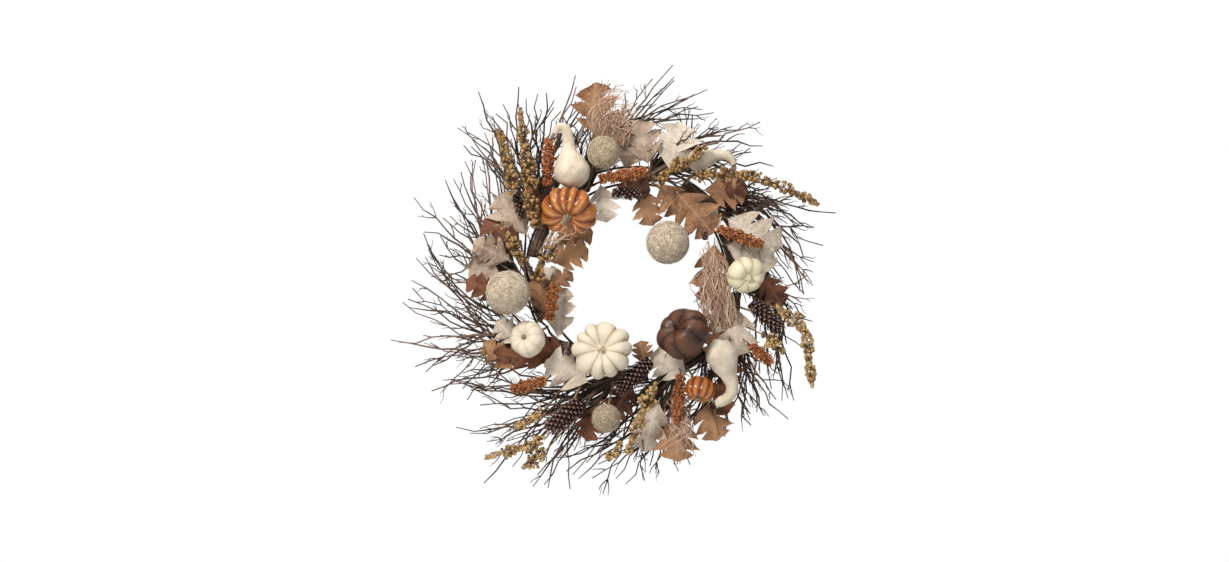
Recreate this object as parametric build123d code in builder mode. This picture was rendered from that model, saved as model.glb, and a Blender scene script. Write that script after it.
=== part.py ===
"""Harvest door wreath: twig bundles wired to a steel ring form, dressed with pumpkins, gourds, fibre balls,
pine cones, berry sprays, seed spikes, root fibre and fabric oak leaves, and hung by a hinged wire loop.

The wreath is modelled lying on the bench: +X is its right, +Y its top and +Z stands off the door.
hang() then turns every finished piece upright, with the origin where the door hook bears on the loop.
Angles on the ring are in degrees, counted from the right-hand side towards the top. Lengths are millimetres."""

import os
from math import cos, radians, sin

from build123d import *

# Steel ring form
form_radius = 152.4  # outside of the outer ring: a 12 inch form
form_band = 26.4  # across both rings
form_wire = 3.4
brace_wire = 2.4
brace_count = 10

# Hanging loop, hinged round the outer ring
loop_wire = 2.0
loop_width = 16.0  # between the legs' centres
loop_rise = 18.0  # hinge axis to the start of the arch
eye_clearance = 0.5

# Twig bundles: how far each one's longest twig reaches from the ring's centre, and which of its twigs that is
bundle_arc = 16.0  # ring angle that the bound part covers
bundles = [
    {"reach": 272, "longest": 3},
    {"reach": 297, "longest": 4},
    {"reach": 335, "longest": 1},
    {"reach": 314, "longest": 3},
    {"reach": 352, "longest": 3},
    {"reach": 352, "longest": 2},
    {"reach": 314, "longest": 3},
    {"reach": 291, "longest": 0},
    {"reach": 285, "longest": 6},
    {"reach": 276, "longest": 3},
]
stem_radius = 3.4
stem_gap = 0.15
form_gap = 0.2  # between the ring form and the bound stems
tie_wire = 1.1
tie_gap = 0.15

# Layers over the bound twigs
leaf_gap = 3.2  # bound twigs to the lowest leaves
leaf_step = 1.6
leaf_thickness = 0.7
leaf_room = 17.0  # for all the leaves, under the pumpkins
stem_depth = 6.8  # how deep the pushed-in stems go into the bound twigs

# Fasteners
pick_radius = 1.5
leaf_stem_radius = 0.7

wire_out = form_wire / 2 + eye_clearance + loop_wire  # door to the rings' centres: the eyes touch the door
outer_ring = form_radius - form_wire / 2
inner_ring = form_radius - form_band + form_wire / 2
ring_mid = (outer_ring + inner_ring) / 2
hook_drop = outer_ring + loop_rise + (loop_width - loop_wire) / 2  # hook to ring centre
stem_pitch = 2 * stem_radius + stem_gap
bundle_radius = stem_pitch + stem_radius
bundle_out = wire_out + form_wire / 2 + form_gap + bundle_radius
leaf_floor = bundle_out + bundle_radius + leaf_gap
ornament_floor = leaf_floor + leaf_room
stem_seat = bundle_out + bundle_radius - stem_depth

hung = Plane(origin=(0, wire_out, -hook_drop), x_dir=(1, 0, 0), z_dir=(0, -1, 0))
os.makedirs("parts", exist_ok=True)


def on_ring(angle, offset=0.0, out=0.0):
    """The point at a ring angle, offset outwards from the middle of the form's band, and out from the door."""
    reach = ring_mid + offset
    return Vector(reach * cos(radians(angle)), reach * sin(radians(angle)), out)


def over_leaves(angle, offset, height):
    """The point at a ring angle and an offset from the band's middle, at a height off the leaf floor."""
    return on_ring(angle, offset, leaf_floor + height)


def along(heading, rise=0.0):
    """The unit vector that heads across the door face, tilted off the door by rise."""
    level = cos(radians(rise))
    return Vector(level * cos(radians(heading)), level * sin(radians(heading)), sin(radians(rise)))


def hang(name, *solids):
    """Turns a node's finished solids upright and writes them as one STEP file."""
    if len(solids) == 1:
        node = solids[0].moved(Location(hung))
    else:
        node = Compound(children=[solid.moved(Location(hung)) for solid in solids])
    node.label = name
    export_step(node, f"parts/{name}.step")


def rod(points, radii, ruled=True):
    """Adds one round rod to the open part: a section of each radius at each point, square to the rod's run."""
    ways = [(end - start).normalized() for start, end in zip(points, points[1:])]
    sections = []
    for point, radius, before, after in zip(points, radii, ways[:1] + ways, ways + ways[-1:]):
        with BuildSketch(Plane(origin=point, x_dir=(0, 0, 1), z_dir=before + after)) as section:
            Circle(radius)
        sections.append(section.sketch)
    loft(sections, ruled=ruled)


# ---- steel ring form -------------------------------------------------------------------------------------


def wire_frame():
    """The form's two halves, butt-welded at the left and right: two ring wires and the braces between them."""
    with BuildPart() as half:
        with BuildSketch(Plane.XZ):
            with Locations((outer_ring, wire_out), (inner_ring, wire_out)):
                Circle(form_wire / 2)
        revolve(axis=Axis.Z, revolution_arc=180)
        with PolarLocations(ring_mid, brace_count // 2, 180 / brace_count, 180, endpoint=False):
            with Locations((0, 0, wire_out)):
                Cylinder(brace_wire / 2, outer_ring - inner_ring, rotation=(0, 90, 0))
    return half.part, half.part.rotate(Axis.Z, 180)


def hanging_loop():
    """A bent wire loop with an eye at each end, closed round the outer ring at the top of the form."""
    eye_radius = wire_out - loop_wire / 2
    hinge = Plane(origin=(0, outer_ring, wire_out), x_dir=(1, 0, 0), z_dir=(0, 0, 1))
    with BuildPart(hinge) as loop:
        with BuildLine(hinge):
            Line((-loop_width / 2, eye_radius), (-loop_width / 2, loop_rise))
            RadiusArc((-loop_width / 2, loop_rise), (loop_width / 2, loop_rise), loop_width / 2)
            Line((loop_width / 2, loop_rise), (loop_width / 2, eye_radius))
        with BuildSketch(Plane(origin=hinge.from_local_coords((-loop_width / 2, eye_radius)), z_dir=(0, 1, 0))):
            Circle(loop_wire / 2)
        sweep()
        with Locations((-loop_width / 2, 0), (loop_width / 2, 0)):
            Torus(eye_radius, loop_wire / 2, rotation=(0, 90, 0))
    return loop.part


# ---- twig bundles and their ties -------------------------------------------------------------------------

# Each stem of a bundle: its place in the bound section in stem pitches (outwards, off the door), how far
# round the ring its tip lies beyond the bound part, and how high its tip stands off the door.
outer_column = cos(radians(30))
stems = [
    {"seat": (outer_column, 0.5), "swing": 10, "tip_out": 26},
    {"seat": (outer_column, -0.5), "swing": 15, "tip_out": 9},
    {"seat": (0, 1), "swing": 20, "tip_out": 27},
    {"seat": (0, 0), "swing": 25, "tip_out": 17},
    {"seat": (0, -1), "swing": 30, "tip_out": 7},
    {"seat": (-outer_column, 0.5), "swing": 35, "tip_out": 22},
    {"seat": (-outer_column, -0.5), "swing": 40, "tip_out": 12},
]
neck_angles = [bundle_arc * step / 4 for step in range(5)]
twig_lead = 14.0  # from the bound part to the first bend
twig_zigzag = 4.0
twig_radii = [2.4, 1.9, 1.4, 0.8]  # at the bend, the knee, the elbow and the tip
shoot_length = 30.0
shoot_turn = 32.0
shoot_radius = 1.0


def twig(start_angle, tip_reach, seat, swing, tip_out):
    """One stem: bound along the ring, then splayed outwards and tapering to its tip, with one side shoot."""
    offset = seat[0] * stem_pitch
    out = bundle_out + seat[1] * stem_pitch
    neck = [on_ring(start_angle - turn, offset, out) for turn in neck_angles]
    end_angle = start_angle - bundle_arc
    tip = on_ring(end_angle - swing, tip_reach - ring_mid, tip_out)
    splay = ((tip - neck[-1]).normalized() + along(end_angle - 90)).normalized()
    bend = neck[-1] + splay * twig_lead
    side = (tip - bend).cross(Vector(0, 0, 1)).normalized()
    knee = bend + (tip - bend) * 0.36 + side * twig_zigzag
    elbow = bend + (tip - bend) * 0.7 - side * twig_zigzag * 0.4
    shoot_way = (tip - elbow).normalized().rotate(Axis.Z, shoot_turn)
    with BuildPart() as stem:
        rod(neck + [bend, knee, elbow, tip], [stem_radius] * len(neck) + twig_radii)
        rod([elbow, elbow + shoot_way * shoot_length], [shoot_radius, shoot_radius / 2])
    return stem.part


def tip_share(number, longest):
    """The share of its bundle's reach that a stem grows to."""
    if number == longest:
        return 1.0
    return 0.9 - 0.07 * (number % 3)


def tie(angle):
    """One turn of tie wire, flattened where it is drawn tight round a bundle and both rings of the form."""
    section = Plane(origin=(0, 0, 0), x_dir=along(angle), z_dir=along(angle - 90))
    with BuildPart() as turn:
        with BuildSketch(section) as outline:
            with Locations((ring_mid, bundle_out)):
                Circle(bundle_radius + tie_gap)
            with Locations((outer_ring, wire_out), (inner_ring, wire_out)):
                Circle(form_wire / 2 + tie_gap)
            make_hull()
            inside = outline.face()
            offset(amount=tie_wire)
            add(inside, mode=Mode.SUBTRACT)
        extrude(amount=tie_wire / 2, both=True)
    return turn.part


# ---- ornaments ---------------------------------------------------------------------------------------------
# Each ornament's seat is a ring angle and an offset outwards from the middle of the ring form.

pumpkins = {
    "orange_pumpkin": {"seat": (136, -15), "width": 76, "height": 48, "lobes": 12, "heading": 255, "rise": 56},
    "large_white_pumpkin": {"seat": (247, -27), "width": 82, "height": 50, "lobes": 10, "heading": 120, "rise": 80},
    "small_white_pumpkin": {"seat": (211, 31), "width": 50, "height": 36, "lobes": 10, "heading": 150, "rise": 60},
    "cream_pumpkin": {"seat": (0, 14), "width": 52, "height": 36, "lobes": 9, "heading": 311, "rise": 65},
    "brown_pumpkin": {"seat": (310, -35), "width": 74, "height": 52, "lobes": 8, "heading": 139, "rise": 42},
    "amber_pumpkin": {"seat": (300, 42), "width": 40, "height": 34, "lobes": 9, "heading": 256, "rise": 25},
}
ornament_lift = {"orange_pumpkin": 3.0, "brown_pumpkin": 2.0}


def half_depth(shape):
    """Half of a tilted pumpkin's depth off the door."""
    tilt = radians(shape["rise"])
    return ((shape["width"] / 2 * cos(tilt)) ** 2 + (shape["height"] / 2 * sin(tilt)) ** 2) ** 0.5


core_fill = 1.04  # the core's radius as a share of the dimples' depth, so that it closes both of them
stalk_foot = 0.1  # the dry stem's sizes as shares of the pumpkin's height
stalk_top = 0.06
stalk_length = 0.375
stalk_start = 0.9  # where it leaves the flesh, as a share of the dimples' depth


def pumpkin(width, height, lobes):
    """A ribbed pumpkin on its own axis: a ring of round lobes about a core, with a dry stem in the dimple."""
    lobe = height / 2
    dimple = (lobe**2 - (width / 2 - lobe) ** 2) ** 0.5
    stalk = (height * stalk_foot, height * stalk_top, height * stalk_length)
    with BuildPart() as fruit:
        Sphere(dimple * core_fill)
        with PolarLocations(width / 2 - lobe, lobes):
            Sphere(lobe)
        with Locations((0, 0, dimple * stalk_start)):
            Cone(*stalk, align=(Align.CENTER, Align.CENTER, Align.MIN))
    return fruit.part


# A gourd's run: places from its seat (right, up) and the radius of the section there.
gourds = {
    "swan_neck_gourd": {
        "seat": (120.5, 29),
        "height": 38,
        "run": [(4, -23, 8), (2, -16, 20), (0, -4, 25), (-2, 10, 21), (-4, 26, 11), (-5, 44, 7.5),
                (-9, 57, 6.5), (-17, 58, 5), (-25, 46, 4)],
    },
    "hooked_gourd": {
        "seat": (317, 25),
        "height": 42,
        "run": [(-5, 22, 8), (-3, 15, 17), (0, 2, 22.5), (5, -13, 18), (10, -26, 11.5), (14, -38, 9),
                (13, -50, 8), (6, -59, 7.5), (-6, -63, 6.5)],
    },
    "lying_gourd": {
        "seat": (60, 44),
        "height": 26,
        "run": [(-16, -7, 6), (-9, -4, 13), (0, 0, 15), (11, 3, 12), (22, 6, 8), (33, 6, 6.5), (42, 1, 5.5),
                (46, -9, 4)],
    },
}

fibre_balls = {
    "left_fibre_ball": {"seat": (188, 35), "radius": 30.5, "height": 48},
    "centre_fibre_ball": {"seat": (44, -75), "radius": 30.0, "height": 32},
    "top_fibre_ball": {"seat": (104, 34), "radius": 23.0, "height": 41},
    "bottom_fibre_ball": {"seat": (259, 61), "radius": 20.0, "height": 38},
}
pick_anchors = {"centre_fibre_ball": 36, "brown_pumpkin": 306}  # ring angles, where not the ornament's own

# A cone's ends on the ring (angle, offset), its width and its height off the leaf floor.
pine_cones = {
    "long_pine_cone": {"from": (281, -20), "to": (262, 22), "width": 28, "rows": 12, "height": 32},
    "lower_left_pine_cone": {"from": (248, 48), "to": (241, 104), "width": 29, "rows": 10, "height": 32},
    "right_pine_cone": {"from": (347, 26), "to": (339.5, 75), "width": 27, "rows": 9, "height": 31},
    "top_pine_cone": {"from": (105, -22), "to": (86, -27), "width": 19, "rows": 7, "height": 27},
}
small_cones = [
    {"from": (145.5, 58), "to": (153.5, 32), "width": 16, "rows": 6, "height": 20},
    {"from": (26, -30), "to": (32, -26), "width": 11, "rows": 4, "height": 36},
    {"from": (202, -2), "to": (206, 6), "width": 11, "rows": 4, "height": 30},
    {"from": (228, -12), "to": (230, 4), "width": 13, "rows": 4, "height": 23},
]


cone_overlap = 0.22  # how far the saw teeth are cut in, as a share of the radius
seed_overlap = 0.3


def scaled_spindle(length, width, rows, overlap, blunt=0.45):
    """A spindle turned with one saw tooth for each row of scales, from its foot at zero to its tip."""
    pitch = length / rows
    rim = [(0, 0)]
    for row in range(rows):
        swell = width / 2 * (blunt + (1 - blunt) * sin(radians(180 * (row + 0.75) / (rows + 0.5))))
        rim += [(swell * (1 - overlap), row * pitch), (swell, (row + 0.7) * pitch)]
    rim += [(0, length)]
    with BuildPart() as spindle:
        with BuildSketch(Plane.XZ):
            with BuildLine():
                Polyline(*rim, close=True)
            make_face()
        revolve(axis=Axis.Z)
    return spindle.part


def laid(cone):
    """A pine cone laid from one ring place to another."""
    start = over_leaves(*cone["from"], cone["height"])
    end = over_leaves(*cone["to"], cone["height"])
    spindle = scaled_spindle((end - start).length, cone["width"], cone["rows"], cone_overlap)
    return spindle.moved(Location(Plane(origin=start, z_dir=end - start)))


# ---- picks ---------------------------------------------------------------------------------------------------


def pick_run(centre, anchor_angle):
    """The plane and length of a pick: from the middle of the bundle at a ring angle to the ornament's centre."""
    anchor = on_ring(anchor_angle, 0, bundle_out)
    return Plane(origin=anchor, z_dir=centre - anchor), (centre - anchor).length


def on_pick(ornament, centre, anchor_angle):
    """The ornament bored to take its pick, and the pick itself."""
    run, length = pick_run(centre, anchor_angle)
    with BuildPart() as bored:
        add(ornament)
        with Locations(run):
            Cylinder(pick_radius, length, align=(Align.CENTER, Align.CENTER, Align.MIN), mode=Mode.SUBTRACT)
    with BuildPart(run) as pick:
        Cylinder(pick_radius, length, align=(Align.CENTER, Align.CENTER, Align.MIN))
    return bored.part, pick.part


# ---- sprays ----------------------------------------------------------------------------------------------------

berry_radius = 3.6
berry_pitch = 7.6
berry_end = 5.8  # from a bend or a tip to the nearest berry's middle
spray_stem_radius = 1.2

# A spray's foot, then the places that its berried stem passes: (angle, offset, height off the leaf floor).
berry_sprays = {
    "berry_spray_top_left": [
        [(143, 12), (137, 50, 40), (130, 95, 36), (125, 134, 30)],
        [(147, 14), (143, 66, 42), (137, 100, 38), (133, 132, 32)],
    ],
    "berry_spray_left_upper": [[(153, -4), (152, 14, 32), (142, 44, 40), (135, 74, 40)]],
    "berry_spray_left_middle": [[(176, 2), (172, 16, 40), (165, 34, 44), (159, 56, 42)]],
    "berry_spray_left_inner": [[(184, 0), (180, -6, 30), (168, -16, 34), (155, -30, 32)]],
    "berry_spray_top": [[(84, 0), (76, -6, 30), (70, 20, 32), (64, 34, 48), (61, 62, 48)]],
    "berry_spray_top_right": [
        [(66, 0), (56, 26, 48), (45, 56, 50), (34, 87, 40), (26, 112, 34), (21, 131, 30)]
    ],
    "berry_spray_right": [
        [(352, 10), (346, 69, 30), (342, 106, 32), (334, 128, 30), (328, 150, 26)],
        [(335, 6), (335, 60, 30), (332.5, 94, 28)],
    ],
    "berry_spray_bottom": [
        [(286, 10), (279, 20, 54), (272, 60, 38), (268, 104, 32)],
        [(268, 40), (265.5, 96, 28), (262, 116, 26)],
    ],
    "berry_spray_bottom_left": [
        [(244, 50), (240, 124, 24), (236, 150, 24), (231, 184, 20)],
        [(238, 30), (236, 90, 26), (232, 125, 24)],
        [(248, 70), (243, 136, 20), (240, 168, 16)],
    ],
}


def beaded_length(start, end):
    """One straight length of stem, turned in one piece with its berries, which keep clear of both ends."""
    length = (end - start).length
    berries = int((length - 2 * berry_end) / berry_pitch) + 1
    pitch = (length - 2 * berry_end) / max(berries - 1, 1)
    with BuildPart() as beaded:
        with BuildSketch(Plane.XZ):
            Rectangle(spray_stem_radius, length, align=(Align.MIN, Align.MIN))
            with Locations(*[(0, berry_end + pitch * berry) for berry in range(berries)]):
                Circle(berry_radius)
            Rectangle(berry_radius, length, align=(Align.MIN, Align.MIN), mode=Mode.INTERSECT)
        revolve(axis=Axis.Z)
    return beaded.part.moved(Location(Plane(origin=start, z_dir=end - start)))


def berry_spray(foot, *places):
    """A wire stem pushed into the twigs, threaded with berries from its first bend to its tip."""
    run = [on_ring(*foot, stem_seat)] + [over_leaves(*place) for place in places]
    with BuildPart() as spray:
        with Locations(Plane(origin=run[0], z_dir=run[1] - run[0])):
            Cylinder(spray_stem_radius, (run[1] - run[0]).length, align=(Align.CENTER, Align.CENTER, Align.MIN))
        for start, end in zip(run[1:], run[2:]):
            add(beaded_length(start, end))
    return spray.part


seed_spike_width = 15.0
seed_row_pitch = 4.0
seed_spikes = {
    "seed_spike_top_left": [{"foot": (134, 20), "from": (134, 32), "to": (122, 82), "height": 28}],
    "seed_spike_top": [{"foot": (79, -2), "from": (83, 4), "to": (110, 0), "height": 42}],
    "seed_spike_right": [
        {"foot": (31, -4), "from": (29, -8), "to": (13, 42), "height": 32},
        {"foot": (330, 14), "from": (329, 48), "to": (327, 86), "height": 26},
    ],
    "seed_spike_left_inner": [{"foot": (205, -4), "from": (208, -6), "to": (186, -30), "height": 28}],
    "seed_spike_left_lower": [{"foot": (230, 30), "from": (230, 50), "to": (223, 92), "height": 26}],
    "seed_spike_bottom": [{"foot": (296, 2), "from": (295, 12), "to": (286, 74), "height": 30}],
}


def seed_spike(shape):
    """A dried seed head on a wire stem that comes up from the twigs."""
    start = over_leaves(*shape["from"], shape["height"])
    end = over_leaves(*shape["to"], shape["height"])
    length = (end - start).length
    head = scaled_spindle(length, seed_spike_width, round(length / seed_row_pitch), seed_overlap)
    with BuildPart() as spike:
        add(head.moved(Location(Plane(origin=start, z_dir=end - start))))
        rod([on_ring(*shape["foot"], stem_seat), start + (end - start) * 0.04], [spray_stem_radius] * 2)
    return spike.part


strand_radius = 0.8
# A tuft of root fibre: its bound foot, the middle and the tip of its centre line, and its spread at both.
root_tufts = {
    "root_tuft_top": {"foot": (96, 20), "middle": (98, 82, 26), "tip": (90, 106, 30), "spread": (9, 16)},
    "root_tuft_right": {"foot": (321, 12), "middle": (350, -28, 20), "tip": (26, -34, 24), "spread": (8, 7)},
    "root_tuft_bottom": {"foot": (288, 36), "middle": (287, 88, 30), "tip": (284, 116, 24), "spread": (8, 15)},
}
strands_in_tuft = 6


def root_tuft(foot, middle, tip, spread):
    """Fibre strands bound together at the foot and fanned out at the middle and the tip."""
    low = on_ring(*foot, stem_seat)
    mid = over_leaves(*middle)
    far = over_leaves(*tip)
    across = (far - low).cross(Vector(0, 0, 1)).normalized()
    strands = []
    for k in range(strands_in_tuft):
        place = k - (strands_in_tuft - 1) / 2
        share = place / strands_in_tuft * 2
        run = [
            low + across * (place * 2.2 * strand_radius),
            mid + across * (share * spread[0]),
            far + across * (share * spread[1]),
        ]
        with BuildPart() as strand:
            rod(run, [strand_radius, strand_radius, strand_radius * 0.7])
        strands.append(strand.part)
    return strands


# ---- fabric oak leaves -------------------------------------------------------------------------------------------

# A leaf's foot (ring angle, offset), the way it heads, its length and width, and its layer above the twigs.
leaves = {
    "cream_leaves_top": [
        {"foot": (72, 12), "heading": 75, "length": 66, "width": 62, "layer": 2},
        {"foot": (110, -1), "heading": 280, "length": 48, "width": 32, "layer": 1},
    ],
    "cream_leaves_right": [
        {"foot": (34, 7), "heading": 333, "length": 90, "width": 66, "layer": 4},
        {"foot": (20, -11), "heading": 341, "length": 80, "width": 48, "layer": 1},
        {"foot": (28, -2), "heading": 128, "length": 32, "width": 20, "layer": 7},
    ],
    "cream_leaves_lower_right": [
        {"foot": (345, 6), "heading": 270, "length": 69, "width": 60, "layer": 3},
        {"foot": (299, 22), "heading": 150, "length": 56, "width": 50, "layer": 1},
    ],
    "cream_leaves_bottom": [
        {"foot": (282, 38), "heading": 254, "length": 71, "width": 48, "layer": 2},
        {"foot": (249, 24), "heading": 155, "length": 66, "width": 62, "layer": 5},
    ],
    "cream_leaves_left": [
        {"foot": (221, 2), "heading": 81, "length": 72, "width": 36, "layer": 1},
        {"foot": (212, 44), "heading": 140, "length": 44, "width": 34, "layer": 4},
    ],
    "taupe_leaves": [
        {"foot": (82, 14), "heading": 102, "length": 60, "width": 42, "layer": 4},
        {"foot": (161, 18), "heading": 122, "length": 68, "width": 62, "layer": 3},
        {"foot": (174, 30), "heading": 153, "length": 56, "width": 40, "layer": 5},
        {"foot": (181, 40), "heading": 163, "length": 48, "width": 38, "layer": 1},
    ],
    "burlap_leaves_top": [
        {"foot": (103, 44), "heading": 98, "length": 84, "width": 60, "layer": 2},
        {"foot": (82, -22), "heading": 279, "length": 48, "width": 38, "layer": 1},
        {"foot": (66, -10), "heading": 311, "length": 80, "width": 62, "layer": 6},
    ],
    "burlap_leaves_left": [
        {"foot": (172, -22), "heading": 18, "length": 56, "width": 40, "layer": 4},
        {"foot": (190, -16), "heading": 30, "length": 38, "width": 22, "layer": 6},
        {"foot": (159, -24), "heading": 28, "length": 38, "width": 24, "layer": 1},
        {"foot": (219, 76), "heading": 137, "length": 60, "width": 30, "layer": 1},
    ],
    "burlap_leaves_lower": [
        {"foot": (25, -18), "heading": 268, "length": 95, "width": 44, "layer": 5},
        {"foot": (277, -14), "heading": 100, "length": 32, "width": 24, "layer": 6},
        {"foot": (288, 60), "heading": 270, "length": 66, "width": 58, "layer": 6},
        {"foot": (299, 58), "heading": 289, "length": 58, "width": 44, "layer": 3},
    ],
    "brown_leaves": [
        {"foot": (47, 19), "heading": 9, "length": 40, "width": 28, "layer": 2},
        {"foot": (1, 34), "heading": 305, "length": 54, "width": 34, "layer": 6},
        {"foot": (190, 52), "heading": 153, "length": 46, "width": 26, "layer": 3},
        {"foot": (227, 26), "heading": 171, "length": 82, "width": 28, "layer": 2},
        {"foot": (306, 42), "heading": 300, "length": 46, "width": 28, "layer": 5},
        {"foot": (255, 46), "heading": 252, "length": 54, "width": 34, "layer": 3},
    ],
}
lobes_per_side = 4
sinus_depth = 0.45  # how far in the cuts between the lobes reach
petiole_length = 9.0


def oak_leaf(foot, heading, length, width, layer):
    """A flat lobed leaf with its wired stem bent back into the twigs."""
    blade = length - petiole_length
    edge = [(0, 0), (0, leaf_stem_radius), (petiole_length, leaf_stem_radius)]
    for lobe in range(lobes_per_side):
        share = (lobe + 0.75) / (lobes_per_side + 0.6)
        half = width / 2 * sin(radians(180 * share ** 0.8)) ** 0.5
        reach = petiole_length + blade * share
        edge += [
            (reach + blade * 0.03, half),
            (reach + blade * 0.09, half * sinus_depth),
        ]
    edge += [(length, 0)]
    base = on_ring(*foot, leaf_floor + layer * leaf_step)
    with BuildPart() as leaf:
        with BuildSketch(Plane(origin=base, x_dir=along(heading), z_dir=(0, 0, 1))):
            with BuildLine():
                Polyline(*edge)
                mirror(about=Plane.XZ)
            make_face()
        extrude(amount=leaf_thickness)
        with Locations((base.X, base.Y, stem_seat)):
            Cylinder(
                leaf_stem_radius * 1.3,
                base.Z + leaf_thickness - stem_seat,
                align=(Align.CENTER, Align.CENTER, Align.MIN),
            )
    return leaf.part


# ---- the assembly --------------------------------------------------------------------------------------------------

hang("wire_frame", *wire_frame())
hang("hanging_loop", hanging_loop())

ties = []
for number, bundle in enumerate(bundles):
    start_angle = 90 + bundle_arc / 2 + number * 360 / len(bundles)
    reaches = [bundle["reach"] * tip_share(k, bundle["longest"]) for k in range(len(stems))]
    twigs = [twig(start_angle, reach, **stem) for reach, stem in zip(reaches, stems)]
    hang(f"twig_bundle_{number + 1:02d}", *twigs)
    ties += [tie(start_angle - neck_angles[1]), tie(start_angle - neck_angles[3])]
hang("tie_wires", *ties)

picks = []
for name, shape in pumpkins.items():
    centre = on_ring(*shape["seat"], ornament_floor + half_depth(shape) + ornament_lift.get(name, 0))
    pose = Plane(origin=centre, z_dir=along(shape["heading"], shape["rise"]))
    fruit = pumpkin(shape["width"], shape["height"], shape["lobes"]).moved(Location(pose))
    fruit, pick = on_pick(fruit, centre, pick_anchors.get(name, shape["seat"][0]))
    hang(name, fruit)
    picks.append(pick)

for name, shape in gourds.items():
    seat = over_leaves(*shape["seat"], shape["height"])
    run = [seat + Vector(right, up, 0) for right, up, radius in shape["run"]]
    with BuildPart() as gourd:
        rod(run, [radius for *_, radius in shape["run"]], ruled=False)
    fruit, pick = on_pick(gourd.part, seat, shape["seat"][0])
    hang(name, fruit)
    picks.append(pick)

for name, shape in fibre_balls.items():
    centre = over_leaves(*shape["seat"], shape["height"])
    with BuildPart() as ball:
        with Locations(centre):
            Sphere(shape["radius"])
    fruit, pick = on_pick(ball.part, centre, pick_anchors.get(name, shape["seat"][0]))
    hang(name, fruit)
    picks.append(pick)

for name, shape in pine_cones.items():
    start, end = (over_leaves(*shape[key], shape["height"]) for key in ("from", "to"))
    ring_angle = (shape["from"][0] + shape["to"][0]) / 2
    cone, pick = on_pick(laid(shape), (start + end) * 0.5, ring_angle)
    hang(name, cone)
    picks.append(pick)

hang("small_pine_cones", *[laid(cone) for cone in small_cones])
hang("ornament_picks", *picks)

for name, group in berry_sprays.items():
    hang(name, *[berry_spray(*places) for places in group])
for name, group in seed_spikes.items():
    hang(name, *[seed_spike(spike) for spike in group])
for name, tuft in root_tufts.items():
    hang(name, *root_tuft(**tuft))
for name, group in leaves.items():
    hang(name, *[oak_leaf(**leaf) for leaf in group])
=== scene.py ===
import math

import bpy
import numpy as np
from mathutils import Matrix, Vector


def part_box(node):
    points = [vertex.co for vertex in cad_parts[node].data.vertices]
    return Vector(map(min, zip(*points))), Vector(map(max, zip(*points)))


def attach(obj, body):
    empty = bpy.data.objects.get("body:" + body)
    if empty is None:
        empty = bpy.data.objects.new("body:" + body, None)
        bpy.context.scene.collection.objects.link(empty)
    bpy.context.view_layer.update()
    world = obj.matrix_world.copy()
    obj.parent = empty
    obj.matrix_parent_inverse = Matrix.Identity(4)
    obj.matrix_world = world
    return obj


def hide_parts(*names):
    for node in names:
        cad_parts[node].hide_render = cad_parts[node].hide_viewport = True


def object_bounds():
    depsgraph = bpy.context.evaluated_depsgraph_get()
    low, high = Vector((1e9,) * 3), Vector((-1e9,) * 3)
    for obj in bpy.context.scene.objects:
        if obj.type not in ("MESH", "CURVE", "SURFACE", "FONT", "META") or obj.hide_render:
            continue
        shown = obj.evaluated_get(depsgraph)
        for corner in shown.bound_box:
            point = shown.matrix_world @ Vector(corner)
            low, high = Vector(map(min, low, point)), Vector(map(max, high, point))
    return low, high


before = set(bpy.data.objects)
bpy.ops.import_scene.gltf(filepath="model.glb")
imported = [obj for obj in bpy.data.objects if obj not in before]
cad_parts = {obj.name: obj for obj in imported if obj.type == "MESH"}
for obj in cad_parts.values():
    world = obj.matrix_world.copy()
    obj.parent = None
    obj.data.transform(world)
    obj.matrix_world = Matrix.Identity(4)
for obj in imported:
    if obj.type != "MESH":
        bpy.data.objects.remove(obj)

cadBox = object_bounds()
print("frame loaded:", len(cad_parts), "nodes")

# Places are given as on the bench, in millimetres: right and up from the ring's middle, out from the door.
# Ring angles are in degrees from the right-hand side towards the top; offsets are outwards from the band's
# middle.
mm = 0.001
formLow, formHigh = (np.array(corner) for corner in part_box("wire_frame"))
ringX, ringZ = (formLow[0] + formHigh[0]) / 2, (formLow[2] + formHigh[2]) / 2
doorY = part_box("hanging_loop")[1][1]
form = {"band": 26.4, "wire": 3.4}
ringMid = (formHigh[0] - formLow[0]) / 2 / mm - form["band"] / 2
wireOut = (doorY - (formLow[1] + formHigh[1]) / 2) / mm
outward = np.array([0.0, 0.0, 1.0])
offOutward = np.array([0.11, 0.07, 1.0])  # a little off it, so that no path lies along it
offEvery = np.array([0.31, 0.17, 0.93])  # no piece's own axis lies along this one
beadEnd = 1.35  # latitude in radians at which a bead's end is cut flat


def toWorld(points):
    # right, up and out in millimetres become x, z and minus y in metres, from the ring's middle and the door
    right, up, out = points[..., 0], points[..., 1], points[..., 2]
    return np.stack([ringX + right * mm, doorY - out * mm, ringZ + up * mm], -1)


def onRing(angle, offset=0.0, out=0.0):
    # polar place: the band's middle radius plus the offset, turned to the ring angle
    turn, reach = np.radians(angle), ringMid + np.asarray(offset, float)
    return np.stack(np.broadcast_arrays(reach * np.cos(turn), reach * np.sin(turn), out), -1)


def along(heading, rise=0.0):
    # unit vector: level part cos(rise) towards the heading, and sin(rise) out from the door
    level, turn, out = np.cos(np.radians(rise)), np.radians(heading), np.sin(np.radians(rise))
    return np.stack(np.broadcast_arrays(level * np.cos(turn), level * np.sin(turn), out), -1)


def unit(vectors):
    # each vector over its own length
    return vectors / np.maximum(np.linalg.norm(vectors, axis=-1, keepdims=True), 1e-9)


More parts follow.
